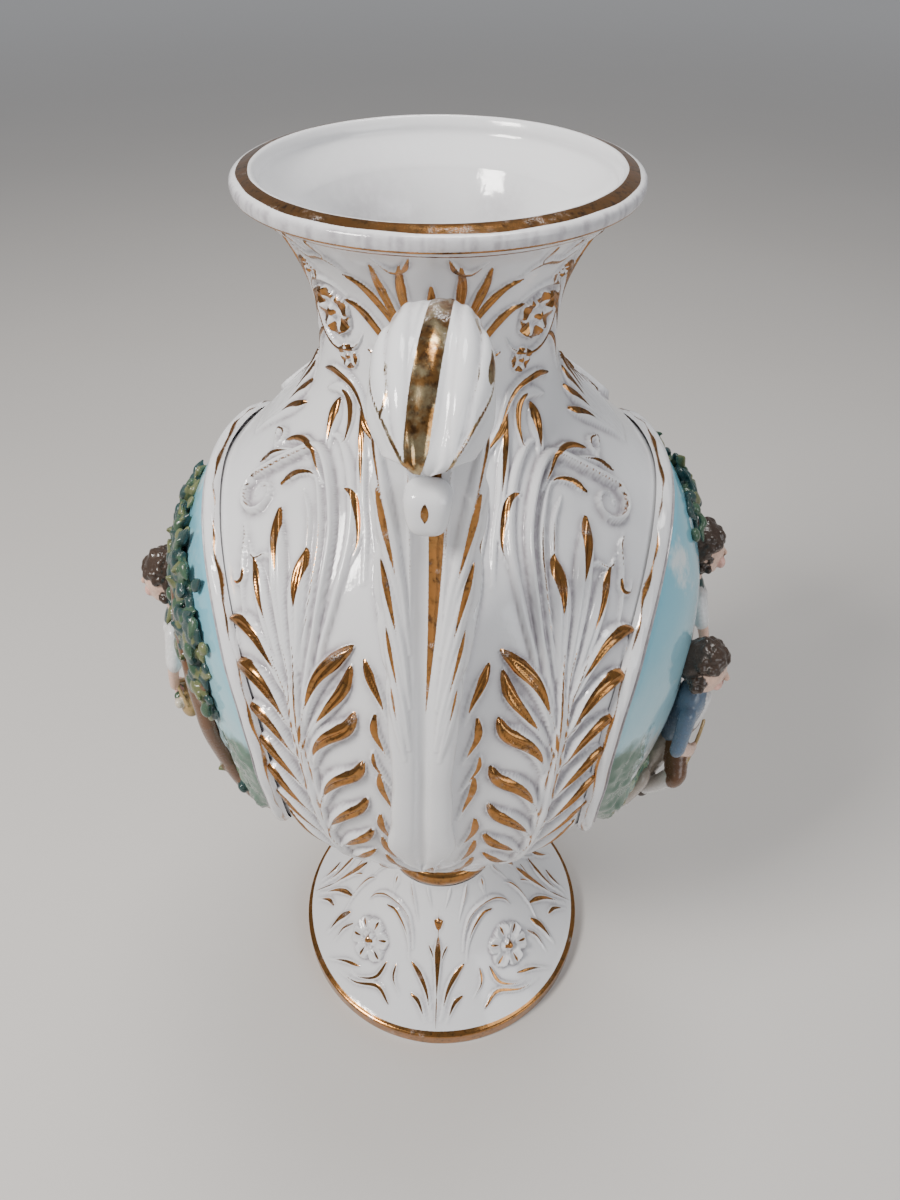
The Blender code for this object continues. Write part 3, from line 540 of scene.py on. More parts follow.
def turned_skin(name, surface, strokes, theta, runs, material, sectors, slot, replaced, trim):
    """The carved outer skin of a turned piece, in sectors round the axis."""
    folded = np.abs((theta + math.pi) % TAU - math.pi)
    folded = np.minimum(folded, math.pi - folded)
    radius = surface.at_run(runs, surface.r)
    angles, where = np.unique(np.round(folded, 7), return_inverse=True)
    height, gild = lay_strokes(strokes, lambda p: on_surface(surface, p), angles,
                               surface.at_run(runs, surface.merc), radius)
    height, gild = height[:, where], gild[:, where]
    uneven = ripples(theta, runs, ((2, .21, .3, .00022), (3, -.16, 1.4, .00016), (7, .05, 2.2, .00008)))
    # Painted shade: the deeper a place lies below the relief round it, the greyer its glaze.
    shade_and_grey = crevices(height, 7)
    gild = np.maximum(gild, trim(runs, theta))
    z = surface.at_run(runs, surface.z)
    out_r, out_z = (surface.at_run(runs, surface.out[:, k]) for k in (0, 1))
    fade = smooth(0, .004, runs) * smooth(0, .004, runs[-1] - runs)
    rise = (height + uneven) * fade[:, None]
    far = radius[:, None] + out_r[:, None] * rise
    points = np.stack([far * np.cos(theta), far * np.sin(theta), z[:, None] + out_z[:, None] * rise], -1)
    normals = grid_normals(points)
    cuts = np.linspace(0, len(theta), sectors + 1).astype(int)
    for k, (first, last) in enumerate(zip(cuts, cuts[1:])):
        cols = np.arange(first, last + 1) % len(theta)
        piece = grid_piece(f"{name}_{k + 1}", points[:, cols], {"gild": gild[:, cols], "shade_and_grey": shade_and_grey[:, cols]},
                           material, normals[:, cols])
        ride_as(piece, slot, *(replaced if k == 0 else ()))


def turned_lining(name, line, steps, material, slot, fields, *replaced):
    """A plain turned piece from a line of (radius, height), top first or bottom first."""
    surface = Turned(line)
    theta = np.arange(steps) / steps * TAU
    r, z = surface.r[:, None], surface.z[:, None]
    points = np.stack([r * np.cos(theta), r * np.sin(theta), z + 0 * theta], -1)
    ride_as(grid_piece(name, points, fields(surface, theta), material), slot, *replaced)


# ---------------------------------------------------------------- castings

COARSER = 1.0
WALL, FOOT_WALL = .004, .0044


def quarter_turns(fine, coarse, change):
    """Angles all round, fine near the handles and coarser round the medallions, alike in each quarter."""
    near = np.linspace(0, change, int(change / (fine * COARSER)) + 1)
    rest = np.linspace(change, 90, int((90 - change) / (coarse * COARSER)) + 1)[1:]
    quarter = np.radians(np.concatenate([near, rest]))
    half = np.concatenate([quarter, math.pi - quarter[-2:0:-1]])
    return np.concatenate([half, half + math.pi])


def graded_runs(surface, parts):
    """Run lengths from part to part: (height where it ends, spacing)."""
    runs, start = [], 0.0
    for height, spacing in parts:
        end = surface.at_height(height, surface.run)
        runs.append(np.linspace(start, end, max(int((end - start) / (spacing * COARSER)), 2), endpoint=False))
        start = end
    return np.concatenate(runs + [[surface.run[-1]]])


def body_trim(runs, theta):
    """Thin gold line under the lip, in mm inside its edge."""
    line = BODY.at_height(.4218, BODY.run) + .0006 * np.sin(3 * theta[None, :])
    return .42 - np.abs(runs[:, None] - line) / MM


def foot_trim(runs, theta):
    return 1.7 + .35 * np.sin(5 * theta[None, :] + 1) - runs[:, None] / MM


def make_body():
    glaze = gilded_glaze("gilded_glaze", wear=0.55)
    turned_skin("body_skin", BODY, BODY_STROKES, quarter_turns(.36, .7, 46),
                graded_runs(BODY, ((.165, .0011), (.350, .00072), (.4244, .00056))), glaze, 6, "porcelain_white",
                ("body",), body_trim)
    turned_skin("foot_skin", FOOT, foot_strokes(), quarter_turns(.5, .5, 45),
                graded_runs(FOOT, ((.079, .00066),)), glaze, 2, "porcelain_white", ("pedestal_foot",), foot_trim)
    return glaze


def lip_fields(surface, theta):
    r, z = surface.r[:, None] / MM, surface.z[:, None] / MM
    wobble = .25 * np.sin(2 * theta + .6) + .18 * np.sin(7 * theta) + .1 * np.sin(19 * theta + 2)
    top = z > 428.0
    band = np.where(top, np.minimum(r - 53.75 + wobble * .5, 57.5 + wobble - r), BARE)
    under = .35 - np.abs(z - 424.9) + BARE * top
    outside = surface.out[:, :1] > -0.2
    gild = np.where(outside, np.maximum(band, under), BARE)
    bead = smooth(58.0, 59.2, r) * (z > 424.6)
    ring = np.sin(theta * 61 + 3 * np.sin(theta * 5)) * np.sin(theta * 23 + 1)
    rubbed = bead * (.42 + .40 * smooth(.25, .75, np.abs(ring)))
    inside = surface.out[:, :1] < -0.3
    patch = np.exp(-((theta - 3.9) / .5) ** 2) * np.exp(-((z - 398) / 17) ** 2)
    far_patch = np.exp(-((theta - 2.6) / .25) ** 2) * np.exp(-((z - 405) / 10) ** 2)
    return {"gild": gild + 0 * theta, "shade_and_grey": np.clip(rubbed + inside * (.55 * patch + .35 * far_patch), 0, 1)}


def make_lip_and_lining(glaze):
    lip = [(57.8, 424.35), (58.9, 424.7), (59.4, 425.8), (59.5, 427.0), (59.2, 428.1), (58.3, 428.75), (56.4, 429.3),
           (54.8, 429.8), (53.7, 430.0), (52.9, 429.8), (52.2, 429.0), (51.4, 427.2), (50.6, 424.6)]
    wall = BODY.line - BODY.out * WALL
    inner = [(r / MM, z / MM) for r, z in wall[::-6] if .103 < z < .4195]
    floor = [(wall[0][0] / MM + 1.0, 97.5), (wall[0][0] / MM - 3.5, 95.6), (3.75, 95.5), (3.75, 90.4)]
    line = curve_through(lip + inner, 3) * MM
    line = np.vstack([line, np.array(floor) * MM])
    turned_lining("lip_and_lining", line, 384, glaze, "porcelain_white", lip_fields)


def edge_fields(surface, theta):
    z = surface.z[:, None] / MM
    outer = surface.out[:, :1] > .3
    wobble = .3 * np.sin(4 * theta) + .2 * np.sin(13 * theta + 1)
    # Painted shade: the foot's inner and under faces are greyed by a quarter.
    return {"gild": np.where(outer, z - 1.0 + wobble, BARE), "shade_and_grey": np.where(outer, 0.0, .25) + 0 * theta}


def make_foot_underside(glaze):
    wall = FOOT.line - FOOT.out * FOOT_WALL
    inner = [(r, z) for r, z in wall[::-6] if .011 < z < .071]
    line = [(.00375, .0788), (.00375, .0735), (.0262, .0735), *inner, (.0752, .0012), (.0757, .0002), (.0766, 0),
            (.0812, 0), (.0820, .0003), (.0825, .0010), (.0825, .0050), (.0825, .0090), (.0822, .0097),
            (.0815, .01005)]
    turned_lining("foot_edge_and_underside", curve_through(line, 2), 300, glaze,
                  "porcelain_white", edge_fields)


def make_collar(glaze):
    arc = [(.0293 + .0029 * math.cos(a), .0845 + .0052 * math.sin(a)) for a in np.radians(np.arange(-90, 91, 9))]
    line = [(.006, .0793), *arc, (.006, .0897)]
    turned_lining("gilt_collar_ring", line, 256, glaze, "gilt_collar",
                  lambda s, t: {"gild": np.full((len(s.r), len(t)), 4.0), "shade_and_grey": np.zeros((len(s.r), len(t)))},
                  "waist_collar")


# ---------------------------------------------------------------- handles

def whole_section(widest, *half):
    """A section from its right half, given from the top to the bottom; it starts at the left's widest place."""
    left = [(-x, y) for x, y in half[-2:0:-1]]
    return [*left[-widest:], *half, *left[:-widest]]


HANDLE_LEAN = math.radians(1.6)
HANDLE_FOOT, HANDLE_TOP, HANDLE_REACH = .211, .411, .1075
STRAP_HALF, STRAP_THICK, HOOD_HALF, HOOD_THICK = .014, .007, .0145, .0065
STRAP_LINE = ((0, .83), (.10, .896), (.20, .93), (.30, .94), (.40, .947), (.52, .921), (.63, .863), (.735, .81),
              (.815, .79), (.885, .785), (.945, .71), (.985, .56), (.98, .33), (.945, .14), (.90, -.06))
STRAP_WIDTHS = ((0, .10), (.03, .52), (.085, .86), (.15, .74), (.24, .68), (.34, .76), (.48, .96), (.62, 1),
                (.72, .90), (.86, .68), (1, .62))
STRAP_DEPTHS = ((0, .55), (.12, 1), (.70, 1), (1, .9))
STRAP_SECTION = whole_section(6, (0, .17), (.14, .24), (.27, .42), (.45, .49), (.70, .47), (.90, .34), (1, 0),
                              (.8, -.36), (.4, -.48), (0, -.5))
HOOD_LINE = ((.914, .98), (.93, .985), (.955, .94), (.992, .85), (1.022, .71), (1.032, .56), (1.026, .42),
             (1.008, .30))
HOOD_WIDTHS = ((0, .14), (.06, .44), (.17, .74), (.38, 1), (.58, .98), (.8, .76), (1, .40))
HOOD_DEPTHS = ((0, .55), (.2, 1), (.7, .9), (1, .45))
HOOD_SECTION = whole_section(5, (0, .10), (.22, .06), (.38, .14), (.68, -.06), (.93, -.52), (1, -1.05),
                             (.85, -1.35), (.45, -1.15), (0, -1.05))


def handle_points(shares):
    """(share of the height, share of the reach) as (radius, height)."""
    up, out = np.array(shares, float).T
    return np.stack([NECK[0] + (HANDLE_REACH - NECK[0]) * out, HANDLE_FOOT + (HANDLE_TOP - HANDLE_FOOT) * up], 1)


def eased(points, share):
    """Values between (share, value) corners, eased from one to the next."""
    points = np.array(points, float)
    k = np.clip(np.searchsorted(points[:, 0], share, side="left") - 1, 0, len(points) - 2)
    t = np.clip((share - points[k, 0]) / (points[k + 1, 0] - points[k, 0]), 0, 1)
    return points[k, 1] + (points[k + 1, 1] - points[k, 1]) * t * t * (3 - 2 * t)


def flat(points):
    """Stroke points given as (mm across, mm along)."""
    return points * MM


def mirrored(*rows):
    return [Stroke([(side * v, u) for v, u in points], *rest) for points, *rest in rows for side in (1, -1)]


def strap_strokes():
    leaves = mirrored(
        (((14.2, 195), (13.4, 184), (11.2, 170), (8.6, 155), (5.6, 136)), 2.6, 1.5, (.05, .5, .4)),
        (((12.6, 174), (11.2, 164), (9, 152), (6.8, 140), (4.6, 122)), 2.4, 1.4, (0, .55, 1)),
        (((12, 152), (10.4, 143), (8.2, 131), (6.2, 119), (4.2, 103)), 2.3, 1.4, (0, .5, .95)),
        (((10.8, 131), (9.4, 122), (7.5, 111), (5.7, 100), (4, 86)), 2.1, 1.2, (0, .5, .6)),
        (((9.4, 111), (8.2, 102), (6.7, 92), (5.2, 81)), 1.8, 1, (0, .5, .4)),
        (((5.4, 186), (4.8, 168), (4.4, 148), (4, 124)), .8, .4, (0, .8, .16), "ridge"),
    )
    return leaves + strokes_of((((1.4, 187), (2.0, 162), (1.8, 134), (.6, 98)), 3.2, .01, (0, 1, 2), "ridge", .3))


def hood_strokes():
    ribs = mirrored(
        (((5.4, 3), (7.8, 26), (7.6, 44), (6.8, 58)), 2.6, .9, None, "ridge"),
        (((8, 6), (12.2, 26), (12.2, 42), (11.4, 55)), 2.1, .8, None, "ridge"),
        (((8.4, 14), (10.4, 24), (10.4, 36), (9.4, 52)), .5, .05, (.05, .85, .2), "ridge"),
        (((4.2, 1), (9.2, 10), (13.2, 19), (14.3, 31)), .9, .5, (-.2, .98, .42), "ridge"),
    )
    return ribs + strokes_of(
        (((-3.2, -3), (-1.6, 18), (.6, 40), (1.8, 63)), 4.2, 1.0, (-.9, 3.2, 3.1), "ridge", .95),
        (((12.9, 22), (13.4, 29), (12.7, 34)), 1.2, .3, (0, .95, .8)),
        (((10.6, 36), (9.4, 42), (9.9, 48)), 1.0, .2, (0, .95, .5)),
        (((-11.0, 12), (-9.6, 18), (-9.9, 26)), 1.0, .2, (0, .95, .35)))


def lofted(name, shape, half_width, thickness, strokes, angle, material, wrap=0.0, edge=None):
    """A closed bar along a line in the handle's plane, with modelled strokes on its outer face.

    wrap is how far below its crown the section still counts as outer face."""
    line, section, widths, depths = shape
    line = curve_through(handle_points(line), 22)
    run = np.concatenate([[0], np.cumsum(np.hypot(*np.diff(line, axis=0).T))])
    stations = np.linspace(0, run[-1], int(run[-1] / (.0006)))
    centre = np.stack([np.interp(stations, run, line[:, k]) for k in (0, 1)], 1)
    along = unit(np.gradient(centre, axis=0))
    outward = np.stack([along[:, 1], -along[:, 0]], 1)
    share = np.interp(stations, run, np.linspace(0, 1, len(run)))
    half = eased(widths, share) * half_width
    depth = eased(depths, share) * thickness
    if edge is not None:
        half = half * edge(stations / MM)
    loop = np.array(section + section[:1], float)
    loop = np.vstack([loop[-2:-1], loop, loop[1:2]])
    around = curve_through(loop, 7)[7:-8]
    across = half[:, None] * around[None, :, 0]
    grid_v = np.arange(-17, 17.01, .3) * MM
    height, gild = lay_strokes(strokes, flat, grid_v, stations, np.ones(len(stations)))
    face = smooth(-.25, .05, around[None, :, 1] + wrap)
    rise = np.array([np.interp(v, grid_v, h) for v, h in zip(across, height)]) * face
    gilding = np.array([np.interp(v, grid_v, g) for v, g in zip(across, gild)])
    gilding = np.where(face > .5, gilding, BARE)
    out = depth[:, None] * around[None, :, 1] + rise
    points = np.stack([centre[:, None, 0] + outward[:, None, 0] * out, across,
                       centre[:, None, 1] + outward[:, None, 1] * out], -1)
    (head_end, head_ring), (tail_end, tail_ring) = (closing(points[k]) for k in (0, -1))
    points = np.stack([head_end, head_ring, *points, tail_ring, tail_end])
    gilding = np.pad(gilding, ((2, 2), (0, 0)), "edge")
    # Painted shade in the hollows between the handle's strokes.
    shade_and_grey = np.pad(crevices(rise, 4), ((2, 2), (0, 0)))
    return grid_piece(name, placed(points, angle), {"gild": gilding, "shade_and_grey": shade_and_grey}, material)


def closing(ring):
    """The middle of a ring, and the ring drawn in close to it."""
    middle = ring.mean(axis=0) + 0 * ring
    return middle, ring * .25 + middle * .75


def placed(points, angle):
    """Leans handle points about their middle height and turns them to their side."""
    middle = Matrix.Translation((0, 0, (HANDLE_FOOT + HANDLE_TOP) / 2))
    move = Matrix.Rotation(angle, 4, "Z") @ middle @ Matrix.Rotation(-HANDLE_LEAN, 4, "X") @ middle.inverted()
    move = np.array(move)
    return points @ move[:3, :3].T + move[:3, 3]


def strap_edge(u):
    """Notches where the side leaves end."""
    notch = sum(np.exp(-((u - tip) / 3.2) ** 2) for tip in (198, 177, 155, 134, 113))
    return 1 + .05 * smooth(95, 120, u) - .085 * notch


def make_bud(side, angle, glaze):
    rows, cols = ((48, 80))
    polar = np.linspace(0, math.pi, rows)[:, None]
    turn = np.arange(cols)[None, :] * TAU / cols
    x, y, z = np.sin(polar) * np.cos(turn), np.sin(polar) * np.sin(turn), -np.cos(polar) + 0 * turn
    seat = handle_points([(.845, .79)])[0]
    square = (np.abs(y) ** 3.2 + np.abs(z) ** 3.2 + np.abs(x) ** 3.2) ** (-1 / 3.2)
    taper = 1 - .17 * smooth(.7, -1, z)
    points = np.stack([seat[0] + .006 + .0056 * x * square, .0061 * y * taper * square,
                       seat[1] + .0067 * z * square], -1)
    mark = np.where(x > 0, 1 - ((z - .22) / .38) ** 2 - np.abs(y * 6.25 + .5), BARE)
    piece = grid_piece(f"handle_{side}_bud_skin", placed(points, angle), {"gild": mark, "shade_and_grey": 0 * mark}, glaze)
    ride_as(piece, "porcelain_white", f"handle_{side}_bud")


def make_handles(glaze):
    worn = gilded_glaze("hood_glaze", wear=1.0, gilding=PALE_GOLD)
    strap = (STRAP_LINE, STRAP_SECTION, STRAP_WIDTHS, STRAP_DEPTHS), STRAP_HALF, STRAP_THICK, strap_strokes()
    hood = (HOOD_LINE, HOOD_SECTION, HOOD_WIDTHS, HOOD_DEPTHS), HOOD_HALF, HOOD_THICK, hood_strokes()
    for side, angle in (("right", 0.0), ("left", math.pi)):
        ride_as(lofted(f"handle_{side}_strap_skin", *strap, angle, glaze, edge=strap_edge),
                "porcelain_white", f"handle_{side}_strap")
        ride_as(lofted(f"handle_{side}_hood_skin", *hood, angle, worn, wrap=.75),
                "porcelain_white", f"handle_{side}_hood")
        make_bud(side, angle, glaze)


# ---------------------------------------------------------------- medallions

HALF_WIDE, HALF_HIGH, SQUARENESS = .0905, .0815, 2.5
PLAQUE_OUT = .0028
MEDALLION_Z = .250
MIDDLE_RUN = float(BODY.at_height(MEDALLION_Z, BODY.run))


def on_bowl(across, up, out, facing):
    run = MIDDLE_RUN + up
    r = BODY.at_run(run, BODY.r) + BODY.at_run(run, BODY.out[:, 0]) * out
    z = BODY.at_run(run, BODY.z) + BODY.at_run(run, BODY.out[:, 1]) * out
    angle = facing + across / BELLY[0]
    return np.stack([r * np.cos(angle), r * np.sin(angle), z], -1)


def oval(share, angle, grow=0.0):
    power = 2 / SQUARENESS
    c, s = np.cos(angle), np.sin(angle)
    return (np.sign(c) * np.abs(c) ** power * (HALF_WIDE * share + grow),
            np.sign(s) * np.abs(s) ** power * (HALF_HIGH * share + grow))


def even_angles(count):
    """Angles that step evenly along the oval."""
    fine = np.linspace(0, TAU, 4001)
    x, y = oval(1.0, fine)
    run = np.concatenate([[0], np.cumsum(np.hypot(np.diff(x), np.diff(y)))])
    return np.interp(np.arange(count) / count * run[-1], run, fine)


def lattice(x, y, seed):
    value = np.sin(x * 127.1 + y * 311.7 + seed * 74.7) * 43758.5453
    return value - np.floor(value)


def cloudy(x, y, size, seed):
    """Smooth value noise, about 0 to 1, over mm coordinates."""
    total, weight = 0.0, 0.0
    for k in range(3):
        u, v = x / size * 2 ** k, y / size * 2 ** k
        iu, iv = np.floor(u), np.floor(v)
        fu, fv = u - iu, v - iv
        fu, fv = fu * fu * (3 - 2 * fu), fv * fv * (3 - 2 * fv)
        low = lattice(iu, iv, seed + k) * (1 - fu) + lattice(iu + 1, iv, seed + k) * fu
        high = lattice(iu, iv + 1, seed + k) * (1 - fu) + lattice(iu + 1, iv + 1, seed + k) * fu
        total = total + (low * (1 - fv) + high * fv) * 0.5 ** k
        weight += 0.5 ** k
    return total / weight


def landscape(s):
    """Sky over hills and grass, painted by the plaque's own coordinates in mm."""
    across, up = s.attribute("across"), s.attribute("up")
    broad = s.noise(55.0, 4.0, .6)
    fine = s.noise(420.0, 4.0, .6)
    sky = s.mix(s.step(s.calc("ADD", up, s.calc("MULTIPLY", broad, 40)), 0, 90), (.46, .70, .76), (.20, .50, .62))
    cloud = s.step(s.noise(38.0, 5.0, .62), .54, .70, 0, .75)
    sky = s.mix(cloud, sky, (.80, .82, .80))
    sky = s.mix(s.step(up, -30, 8, .6, 0), sky, (.82, .68, .60))
    level = s.calc("ADD", up, s.calc("MULTIPLY", s.calc("SUBTRACT", broad, .5), 30))
    hills = s.mix(s.step(fine, .4, .62), (.10, .20, .16), (.26, .36, .22))
    ground = s.mix(s.step(fine, .38, .6), (.16, .17, .07), (.42, .33, .16))
    ground = s.mix(s.step(s.noise(240.0, 2.0), .60, .68, 0, .8), ground, (.62, .36, .36))
    scene = s.mix(s.step(level, -24, -21), hills, sky)
    scene = s.mix(s.step(level, -40, -36), ground, scene)
    bush = s.step(s.calc("ADD", s.calc("ABSOLUTE", across), s.calc("MULTIPLY", fine, 24)), 80, 88)
    bush = s.calc("MULTIPLY", bush, s.step(level, 4, 14, 1, 0))
    return s.mix(bush, scene, (.09, .17, .12))


def make_plaque(side, facing, painted):
    rings, turns = ((110, 420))
    share = np.linspace(.004, 1.0, rings)[:, None]
    angle = np.append(even_angles(turns), TAU)[None, :-1]
    x, y = oval(share, angle)
    mx, my = x / MM, y / MM
    level = my + 30 * (cloudy(mx, my, 18, 5) - .5)
    rough = cloudy(mx, my, 4.2, 11) ** 1.5
    bushes = smooth(74, 88, np.abs(mx) + 20 * cloudy(mx, my, 6, 3)) * smooth(12, 2, my)
    rise = smooth(-26, -44, level) * (1.2 + 2.6 * rough) + bushes * 2.2 * rough
    rise = rise * smooth(1.0, .93, share) * MM
    points = on_bowl(x, y, PLAQUE_OUT + rise - .0008 * smooth(.96, 1, share), facing)
    piece = grid_piece(f"medallion_{side}_painting", points,
                       {"gild": np.full_like(mx, BARE), "shade_and_grey": np.zeros_like(mx), "across": mx, "up": my}, painted)
    ride_as(piece, "sky_blue_glaze", f"medallion_{side}_plaque")


def make_frame(side, facing, glaze):
    turns = 760
    angle = even_angles(turns)[None, :]
    q = np.linspace(-.3, 7.0, 46)[:, None]
    crown = 4.4 * np.sqrt(np.clip(1 - ((q - 3.6) / 3.45) ** 2, 0, 1))
    bead = 3.5 * np.exp(-((q - .25) / .42) ** 4)
    scroll = .28 * np.sin(angle * 34 + 1.1 * q) * smooth(4.2, 5.4, q) * smooth(6.9, 6.2, q)
    out = np.maximum(crown, bead) - .55 * np.exp(-((q - 2.1) / .35) ** 2) + scroll
    x, y = oval(1.0, angle, q * MM)
    points = on_bowl(x, y, out * MM, facing)
    wobble = .12 * np.sin(9 * angle) + .08 * np.sin(31 * angle)
    gild = np.maximum(.26 + wobble - np.abs(q - 1.55), .16 + wobble - np.abs(q - 6.35 - .2 * np.sin(angle * 17)))
    # A lilac band on the inner edge, and a stripe of painted shade in the groove beside it.
    lilac_and_groove_shade = np.clip(smooth(1.9, .9, q) * .85 + .5 * np.exp(-((q - 2.2) / .3) ** 2), 0, 1) + 0 * angle
    piece = grid_piece(f"medallion_{side}_moulding", points, {"gild": gild, "shade_and_grey": lilac_and_groove_shade}, glaze)
    ride_as(piece, "porcelain_white", f"medallion_{side}_frame")


FLESH, BLUSH, LIP_RED = (.80, .52, .40), (.80, .46, .38), (.50, .16, .14)
HAIR, WHITE = (.045, .028, .02), (.80, .79, .78)
ROSE, CREAM, STRAW = (.66, .36, .36), (.74, .66, .52), (.45, .31, .14)
STONE, BLUE = (.38, .33, .28), (.13, .19, .27)
BROWN, SOFT_BROWN, TEAL, GREEN = (.15, .075, .04), (.30, .16, .10), (.022, .062, .060), (.05, .105, .062)
MOSS = (.15, .17, .075)

# A limb of a figure or plant is (start, end, radius at the start, radius at the end, colour, depth as a share of
# the radius), in mm across, up and out of the plaque.


def curls(rng, middle, size, count, small, color, upward=False):
    """Small round curls over a round head, only on its upper half if upward."""
    made = []
    for _ in range(count):
        d = unit(rng.normal(size=3))
        if upward:
            d[1] = abs(d[1])
        place = np.array(middle) + d * np.array(size)
        made.append((place, place, small * rng.uniform(.8, 1.2), small, color, 1.0))
    return made


def head(rng, x, y, z, size, turn):
    """A calm, plain face with brushed brows, eyes and mouth, under curled hair. turn slides it sideways."""
    def at(a, b, c):
        return x + a * size + turn * (1 - .4 * c) * size * .25, y + b * size, z + c * size

    parts = [((0, -.64, .36), (0, -.64, .36), .28, .28, FLESH, 1),
             ((0, .14, .82), (0, -.1, .9), .07, .125, FLESH, 1)]
    parts += [((s * .36, -.2, .6), (s * .36, -.2, .6), .25, .25, BLUSH, .85) for s in (-1, 1)]
    parts.append(((-.1, -.38, .8), (.1, -.38, .8), .058, .058, LIP_RED, .9))
    for s in (-1, 1):
        parts.append(((s * .33, .1, .775), (s * .25, .1, .8), .055, .055, BROWN, .8))
        parts.append(((s * .42, .26, .735), (s * .2, .28, .8), .032, .032, SOFT_BROWN, .8))
    made = [((x, y - .12 * size, z), (x, y + .28 * size, z), .76 * size, .86 * size, FLESH, .95)]
    made += [(at(*start), at(*end), first * size, last * size, *rest) for start, end, first, last, *rest in parts]
    made.append(((x, y + .62 * size, z - .02 * size), (x, y + .4 * size, z - .5 * size), .82 * size, .86 * size,
                 HAIR, .95))
    made += curls(rng, (x, y + .6 * size, z - .04 * size), (.8 * size, .74 * size, .74 * size), 60, .17 * size, HAIR,
                  upward=True)
    for s in (-1, 1):
        made += curls(rng, (x + s * .84 * size, y + .10 * size, z - .18 * size), (.14 * size, .42 * size, .3 * size),
                      14, .16 * size, HAIR)
    return made


def standing_figure(rng):
    made = [
        ((15, -8, 4), (16, -46, 4), 7.5, 15.5, ROSE, .55), ((15, -7, 6), (14, 9, 6), 7.0, 8.4, TEAL, .7),
        ((15, -10, 8), (14.5, -34, 10), 5.0, 10.0, WHITE, .5),
        ((13.6, 13, 6), (13, 19, 7), 3.6, 3.4, FLESH, .8), ((8, 10, 10), (19, 10, 10), 2.4, 2.4, WHITE, .8)]
    for k in range(9):
        x = 2.5 + 3.4 * k
        made.append(((12 + .8 * k, -12, 9), (x, -51, 7 + 3 * math.sin(k * .4 + .6)), 1.2, 2.4,
                     (ROSE, CREAM, WHITE)[k % 3], .9))
    made += [
        ((5.5, 10, 7), (1, 2, 9), 4.8, 4.0, WHITE, .8), ((1, 2, 9), (-3, -9, 13), 3.0, 2.4, FLESH, .8),
        ((-3, -9, 13), (-5, -13, 14), 2.2, 1.8, FLESH, .8), ((23, 10, 7), (29, 1, 9), 4.8, 4.0, WHITE, .8),
        ((29, 1, 9), (27, -12, 13), 3.0, 2.4, FLESH, .8), ((27, -12, 13), (24, -15, 14), 2.2, 1.8, FLESH, .8),
        ((24, -22, 10), (31, -22, 10), 4.6, 4.6, STRAW, .8), ((20, -18, 10), (27, -11, 12), .9, .9, STRAW, .8),
        ((27, -11, 12), (34, -18, 10), .9, .9, STRAW, .8), ((10, -54, 8), (9, -56, 11), 3.0, 2.4, BROWN, .8),
        ((21, -54, 8), (22, -56, 11), 3.0, 2.4, BROWN, .8)]
    for k in range(8):
        made.append(((21 + 1.7 * k, -17.5 + (k % 2), 13), (21 + 1.7 * k, -17.5, 13), 1.7, 1.7,
                     (ROSE, CREAM, GREEN)[k % 3], 1))
    return made + head(rng, 12.5, 28, 8, 9.8, -.5)


def seated_figure(rng):
    made = [
        ((-36, -20, 5), (-36.5, -3, 6), 8.2, 8.8, BLUE, .7),
        ((-36, -16, 11), (-36.5, -1, 11), 2.6, 3.0, WHITE, .8),
        ((-36.8, 1, 7), (-37, 6, 7), 3.6, 3.4, FLESH, .8), ((-32, -24, 8), (-21, -31, 14), 6.2, 5.2, BROWN, .8),
        ((-40, -25, 8), (-49, -32, 14), 6.2, 5.2, BROWN, .8),
        ((-21, -32, 14), (-20, -50, 10), 4.6, 3.2, WHITE, .8),
        ((-49, -33, 13), (-46, -51, 10), 4.6, 3.2, WHITE, .8),
        ((-20, -53, 10), (-15, -54, 12), 3.2, 2.6, HAIR, .8),
        ((-46, -54, 10), (-41, -55, 12), 3.2, 2.6, HAIR, .8),
        ((-28.5, -4, 7), (-22, -13, 11), 4.4, 3.6, BLUE, .8),
        ((-22, -13, 11), (-14, -11, 14), 3.0, 2.4, FLESH, .8),
        ((-14, -11, 14), (-10, -10, 14), 2.2, 1.6, FLESH, .8),
        ((-45, -4, 7), (-52, -14, 9), 4.4, 3.6, BLUE, .8), ((-52, -14, 9), (-44, -22, 14), 3.0, 2.4, FLESH, .8),
        ((-44, -22, 14), (-40, -24, 15), 2.2, 1.8, FLESH, .8),
        ((-36, -34, 3), (-34, -52, 3), 13, 16, STONE, .5), ((-56, -38, 3), (-54, -54, 3), 6, 8, STONE, .6),
        ((-46, -26, 15), (-30, -20, 16), 1.0, 1.0, STRAW, .8)]
    for k in range(7):
        made.append(((-9 + .9 * k, -8 + 2.2 * (k % 3), 15), (-9 + .9 * k, -9, 15), 1.6, 1.4,
                     (ROSE, CREAM, GREEN)[k % 3], 1))
    return made + head(rng, -37.5, 14, 8, 9.2, .5)


def leaf_cloud(rng, middle, spread, count, size, colors):
    made = []
    for _ in range(count):
        offset = rng.normal(size=3) * np.array(spread) * .5
        place = np.array(middle) + offset
        place[2] = np.clip(place[2], 1.2, 4.2)
        tip = place + unit(rng.normal(size=3) * np.array([1, 1, .3])) * 4.4
        made.append((place, tip, size * rng.uniform(.7, 1.1), size * .28, colors[rng.integers(len(colors))], .62))
    return made


def tree(rng):
    made = [
        ((64, -50, 1), (61, -26, 2), 6.0, 4.6, BROWN, .8), ((61, -26, 2), (62, 0, 3), 4.6, 4.2, BROWN, .8),
        ((62, 0, 3), (57, 24, 3), 4.2, 3.4, BROWN, .8), ((57, 24, 3), (44, 46, 3), 3.4, 2.4, BROWN, .8),
        ((44, 46, 3), (18, 61, 3), 2.4, 1.4, BROWN, .8), ((60, 8, 3), (68, 24, 2), 2.2, 1.4, BROWN, .8)]
    for middle, spread, count in (((53, 36, 3), (15, 14, 4), 74), ((38, 54, 3), (18, 10, 4), 78),
                                  ((12, 62, 3), (22, 8, 4), 66), ((65, 20, 3), (7, 12, 4), 34),
                                  ((61, -34, 3), (7, 10, 4), 18)):
        made += leaf_cloud(rng, middle, spread, count, 2.5, (TEAL, TEAL, GREEN, MOSS))
    return made


